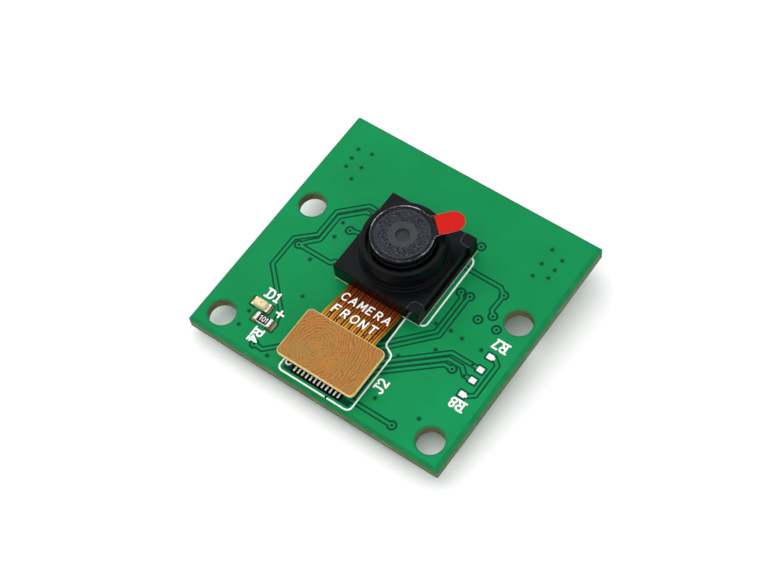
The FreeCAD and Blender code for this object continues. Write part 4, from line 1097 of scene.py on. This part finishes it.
BACK_TRACKS = [
    [(20.57, 15.95), (19.35, 17.2), (19.35, 18.0)],
    [(17.45, 14.3), (17.35, 15.2), (17.35, 18.0)],
    [(18.3, 14.35), (18.35, 18.0)],
    [(20.9, 13.85), (20.9, 11.4), (20.1, 10.6)],
    [(6.23, 14.14), (6.0, 14.9), (5.92, 15.45)],
    [(7.48, 15.45), (8.35, 16.3), (8.35, 18.0)],
    [(9.32, 15.45), (9.35, 18.0)],
    [(10.88, 15.45), (11.35, 16.1), (11.35, 18.0)],
    [(3.43, 10.69), (3.43, 12.5), (5.35, 15.9), (5.35, 18.0)],
    [(11.3, 12.63), (11.3, 13.6), (12.35, 14.6), (12.35, 18.0)],
    [(11.3, 11.07), (11.3, 9.5), (12.4, 8.85), (13.12, 8.85)],
    [(14.68, 8.85), (16.0, 8.85), (18.6, 8.1), (20.85, 8.1)],
    [(6.05, 1.15), (5.25, 1.7), (5.25, 2.4)],
    [(19.7, 1.4), (19.45, 1.7), (19.45, 2.4)],
    [(7.15, 4.93), (7.15, 6.4), (5.75, 7.8), (5.75, 12.9)],
    [(11.75, 4.23), (11.75, 6.2), (13.12, 7.6), (13.12, 8.85)],
    [(17.55, 4.93), (17.55, 6.8), (20.1, 8.0), (20.1, 8.87)],
]
REGULATORS = [(-6.3, -4.6), (0.2, -5.3), (6.0, -4.6)]
TRANSISTOR = (-5.8, 3.4)
OSCILLATOR = (4.6, 5.0)
SOCKET = (-0.15, 12.5)
LEAD_PITCH, LEAD_PLACE, LEAD_PAD = 0.95, 1.28, (0.56, 0.66)


def lead_pads():
    """The pads under every lead on the back, in places of the part's frame, with their sizes."""
    pads = []
    for x, y in REGULATORS:
        pads += [(x + step * LEAD_PITCH, y - LEAD_PLACE, *LEAD_PAD) for step in (-1, 0, 1)]
        pads += [(x + step * LEAD_PITCH, y + LEAD_PLACE, *LEAD_PAD) for step in (-1, 1)]
    x, y = TRANSISTOR
    pads.append((x, y - LEAD_PLACE, *LEAD_PAD))
    pads += [(x + step * LEAD_PITCH, y + LEAD_PLACE, *LEAD_PAD) for step in (-1, 1)]
    pads += [(SOCKET[0] + way - 7, SOCKET[1] - 2.45, 0.5, 0.9) for way in range(15)]
    return pads


def body_pads():
    """The pads beside the chip parts, the oscillator and the socket's hold-downs."""
    pads = [(SOCKET[0] + side * 9.85, SOCKET[1] - 0.5, 1.3, 1.8) for side in (-1, 1)]
    x, y = OSCILLATOR
    pads += [(x + a * 0.95, y + b * 0.75, 0.8, 0.65) for a in (-1, 1) for b in (-1, 1)]
    for x, y, quarter in CAPACITORS + BACK_RESISTORS:
        for side in (-1, 1):
            if quarter:
                pads.append((x, y + side * PAD_OFFSET, PAD_SIZE[1], PAD_SIZE[0]))
            else:
                pads.append((x + side * PAD_OFFSET, y, *PAD_SIZE))
    return pads


def ring_of(x, y, width, depth, gap=0.0):
    """A closed line round a rectangle, with an optional gap at its first side."""
    a, b = width / 2, depth / 2
    return [(x - gap, y - b), (x - a, y - b), (x - a, y + b),
            (x + a, y + b), (x + a, y - b), (x + gap, y - b)]


def back_details(finishes):
    """The back's mask and copper, its pads and solder, its legend, and marks on its packages."""
    leads, bodies = lead_pads(), body_pads()
    openings = [(x - BOARD_X, y - BOARD_Y, w, d, 0.07) for x, y, w, d in leads + bodies]
    rings = [ring for ring in FRONT_RINGS if ring[1] < 17]
    dots = [dot for dot in FRONT_DOTS if dot[1] < 17]
    side = MaskSide(BACK_TRACKS, rings, dots, openings, (0.3, 0.3, 0.3, 0.3))
    mask_piece("back_mask", side, BOARD_BOTTOM, -1, finishes)
    pads, solder = Solid(), Solid()
    for x, y, width, depth in bodies + leads:
        outline = rounded(x, y, width, depth, 0.04, 2)
        pads.loft([at_height(outline, 0.003), at_height(outline, MASK_HEIGHT)])
    for x, y, width, depth in leads:
        domed_pad(solder, x, y, width * 0.86, depth * 0.8, MASK_HEIGHT, -0.05)
    pads.build("back_pads", [finishes["gold_pad"]], closed=True)
    solder.build("back_solder", [finishes["solder"]], smooth=40, closed=True)
    socket = ring_of(*SOCKET, 18.9, 4.1, 8.2)
    lines = [socket[:3], socket[4:]]
    lines += [ring_of(x, y, 3.2, 1.3, 0.2) for x, y in REGULATORS + [TRANSISTOR]]
    lines.append(ring_of(*OSCILLATOR, 3.3, 2.7, 0.4))
    for x, y, quarter in CAPACITORS + BACK_RESISTORS:
        lines.append(ring_of(x, y, 1.2, 2.5) if quarter else ring_of(x, y, 2.5, 1.2))
    board_lines = [[(x - BOARD_X, y - BOARD_Y) for x, y in line] for line in lines]
    legend_piece("back_outlines", board_lines, finishes, BOARD_BOTTOM, -1, 0.12)
    marks = Solid()
    for x, y in REGULATORS + [TRANSISTOR]:
        marks.loft([at_height(circle(x + 1.1, y - 0.4, 0.13, 16), z) for z in (-1.104, -1.0)])
    x, y = OSCILLATOR
    marks.loft([at_height(circle(x + 0.75, y - 0.5, 0.1, 16), z) for z in (-0.654, -0.6)])
    marks.build("package_marks", [finishes["mark"]], closed=True)


# ---- stage

def look(azimuth, elevation, roll, target, distance):
    """A camera's place and turn, from the angles it looks at a target from, and how far off."""
    around, above, tilt = (math.radians(a) for a in (azimuth, elevation, roll))
    back = Vector((math.sin(around) * math.cos(above), -math.cos(around) * math.cos(above),
                   math.sin(above)))
    level = Vector((math.cos(around), math.sin(around), 0))
    right = level * math.cos(tilt) + back.cross(level) * math.sin(tilt)
    turn = Matrix((right, back.cross(right), back)).transposed().to_4x4()
    return Matrix.Translation((Vector(target) + back * distance) * MM) @ turn


def add_camera():
    """The camera: where it looks from and at, and its lens."""
    azimuth, elevation, roll = 43.857, 59.953, -9.431
    target, distance = (0.065, 2.855, 1.0), 139.3
    data = bpy.data.cameras.new("camera")
    data.lens, data.sensor_width = 78.2, 36
    data.clip_start, data.clip_end = 0.005, 5
    camera = bpy.data.objects.new("camera", data)
    bpy.context.scene.collection.objects.link(camera)
    camera.matrix_world = look(azimuth, elevation, roll, target, distance)
    bpy.context.scene.camera = camera


def add_lamp(name, place, size, power):
    """A square soft light that faces the board."""
    data = bpy.data.lights.new(name, "AREA")
    data.size, data.energy = size * MM, power
    lamp = bpy.data.objects.new(name, data)
    bpy.context.scene.collection.objects.link(lamp)
    lamp.location = Vector(place) * MM
    lamp.rotation_euler = (-lamp.location).to_track_quat("-Z", "Y").to_euler()


def add_stage():
    """A pale floor that the parts on the back rest on, and soft light."""
    rest_y, rest_height = -6.1, -1.11
    socket_drop, socket_reach = 1.5, 20.5
    lean = math.atan2(socket_drop, socket_reach)
    half = 700
    floor = bpy.data.meshes.new("floor")
    corners = [(-half, -half, 0), (half, -half, 0), (half, half, 0), (-half, half, 0)]
    floor.from_pydata([Vector(c) * MM for c in corners], [], [(0, 1, 2, 3)])
    floor.materials.append(mottled("floor", (247, 247, 247), (249.4, 249.4, 249.4), 0.01, 0.9, 0.1).material)
    sheet = bpy.data.objects.new("floor", floor)
    bpy.context.scene.collection.objects.link(sheet)
    sheet.matrix_world = (Matrix.Translation(Vector((0, rest_y, rest_height)) * MM)
                          @ Matrix.Rotation(-lean, 4, "X"))
    world = bpy.data.worlds.new("world")
    bpy.context.scene.world = world
    world.use_nodes = True
    sky = world.node_tree.nodes["Background"].inputs
    sky["Color"].default_value, sky["Strength"].default_value = (1, 1, 1, 1), 1.0
    add_lamp("key", (-290, 130, 470), 500, 1.0)
    add_lamp("top", (60, -80, 560), 500, 0.3)
    bpy.context.scene.view_settings.view_transform = "Standard"


# ---- all of it

def build():
    add_camera()
    add_stage()
    finishes = make_materials()
    paint_frame(finishes)
    openings = [(x, y, *SPARE_PAD_SIZE, 0.16) for x, y in SPARE_PADS]
    for place, offset, size in CHIP_PADS:
        openings += [(place[0] + side * offset, place[1], *size, 0.12) for side in (-1, 1)]
    openings += [(*CONTACT_OPENING, 0.0), (*OUTLINE_BREAK, 0.0)]
    front = MaskSide(FRONT_TRACKS, FRONT_RINGS, FRONT_DOTS, openings, (0.1, 0.35, 0.42, 0.12), SHADE_PATCH)
    top = mask_piece("front_mask", front, BOARD_TOP, 1, finishes)
    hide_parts("circuit_board")
    core_piece(finishes)
    front_legend(finishes)
    front_pads(finishes)
    flex_piece(finishes)
    flex_letters(finishes)
    stiffener_piece(finishes)
    barrel_piece(finishes)
    film_rim(finishes)
    resistor_digits(finishes)
    holder_rings(finishes)
    holder_trim(finishes)
    back_details(finishes)
    chips(finishes)
    light(finishes)


build()
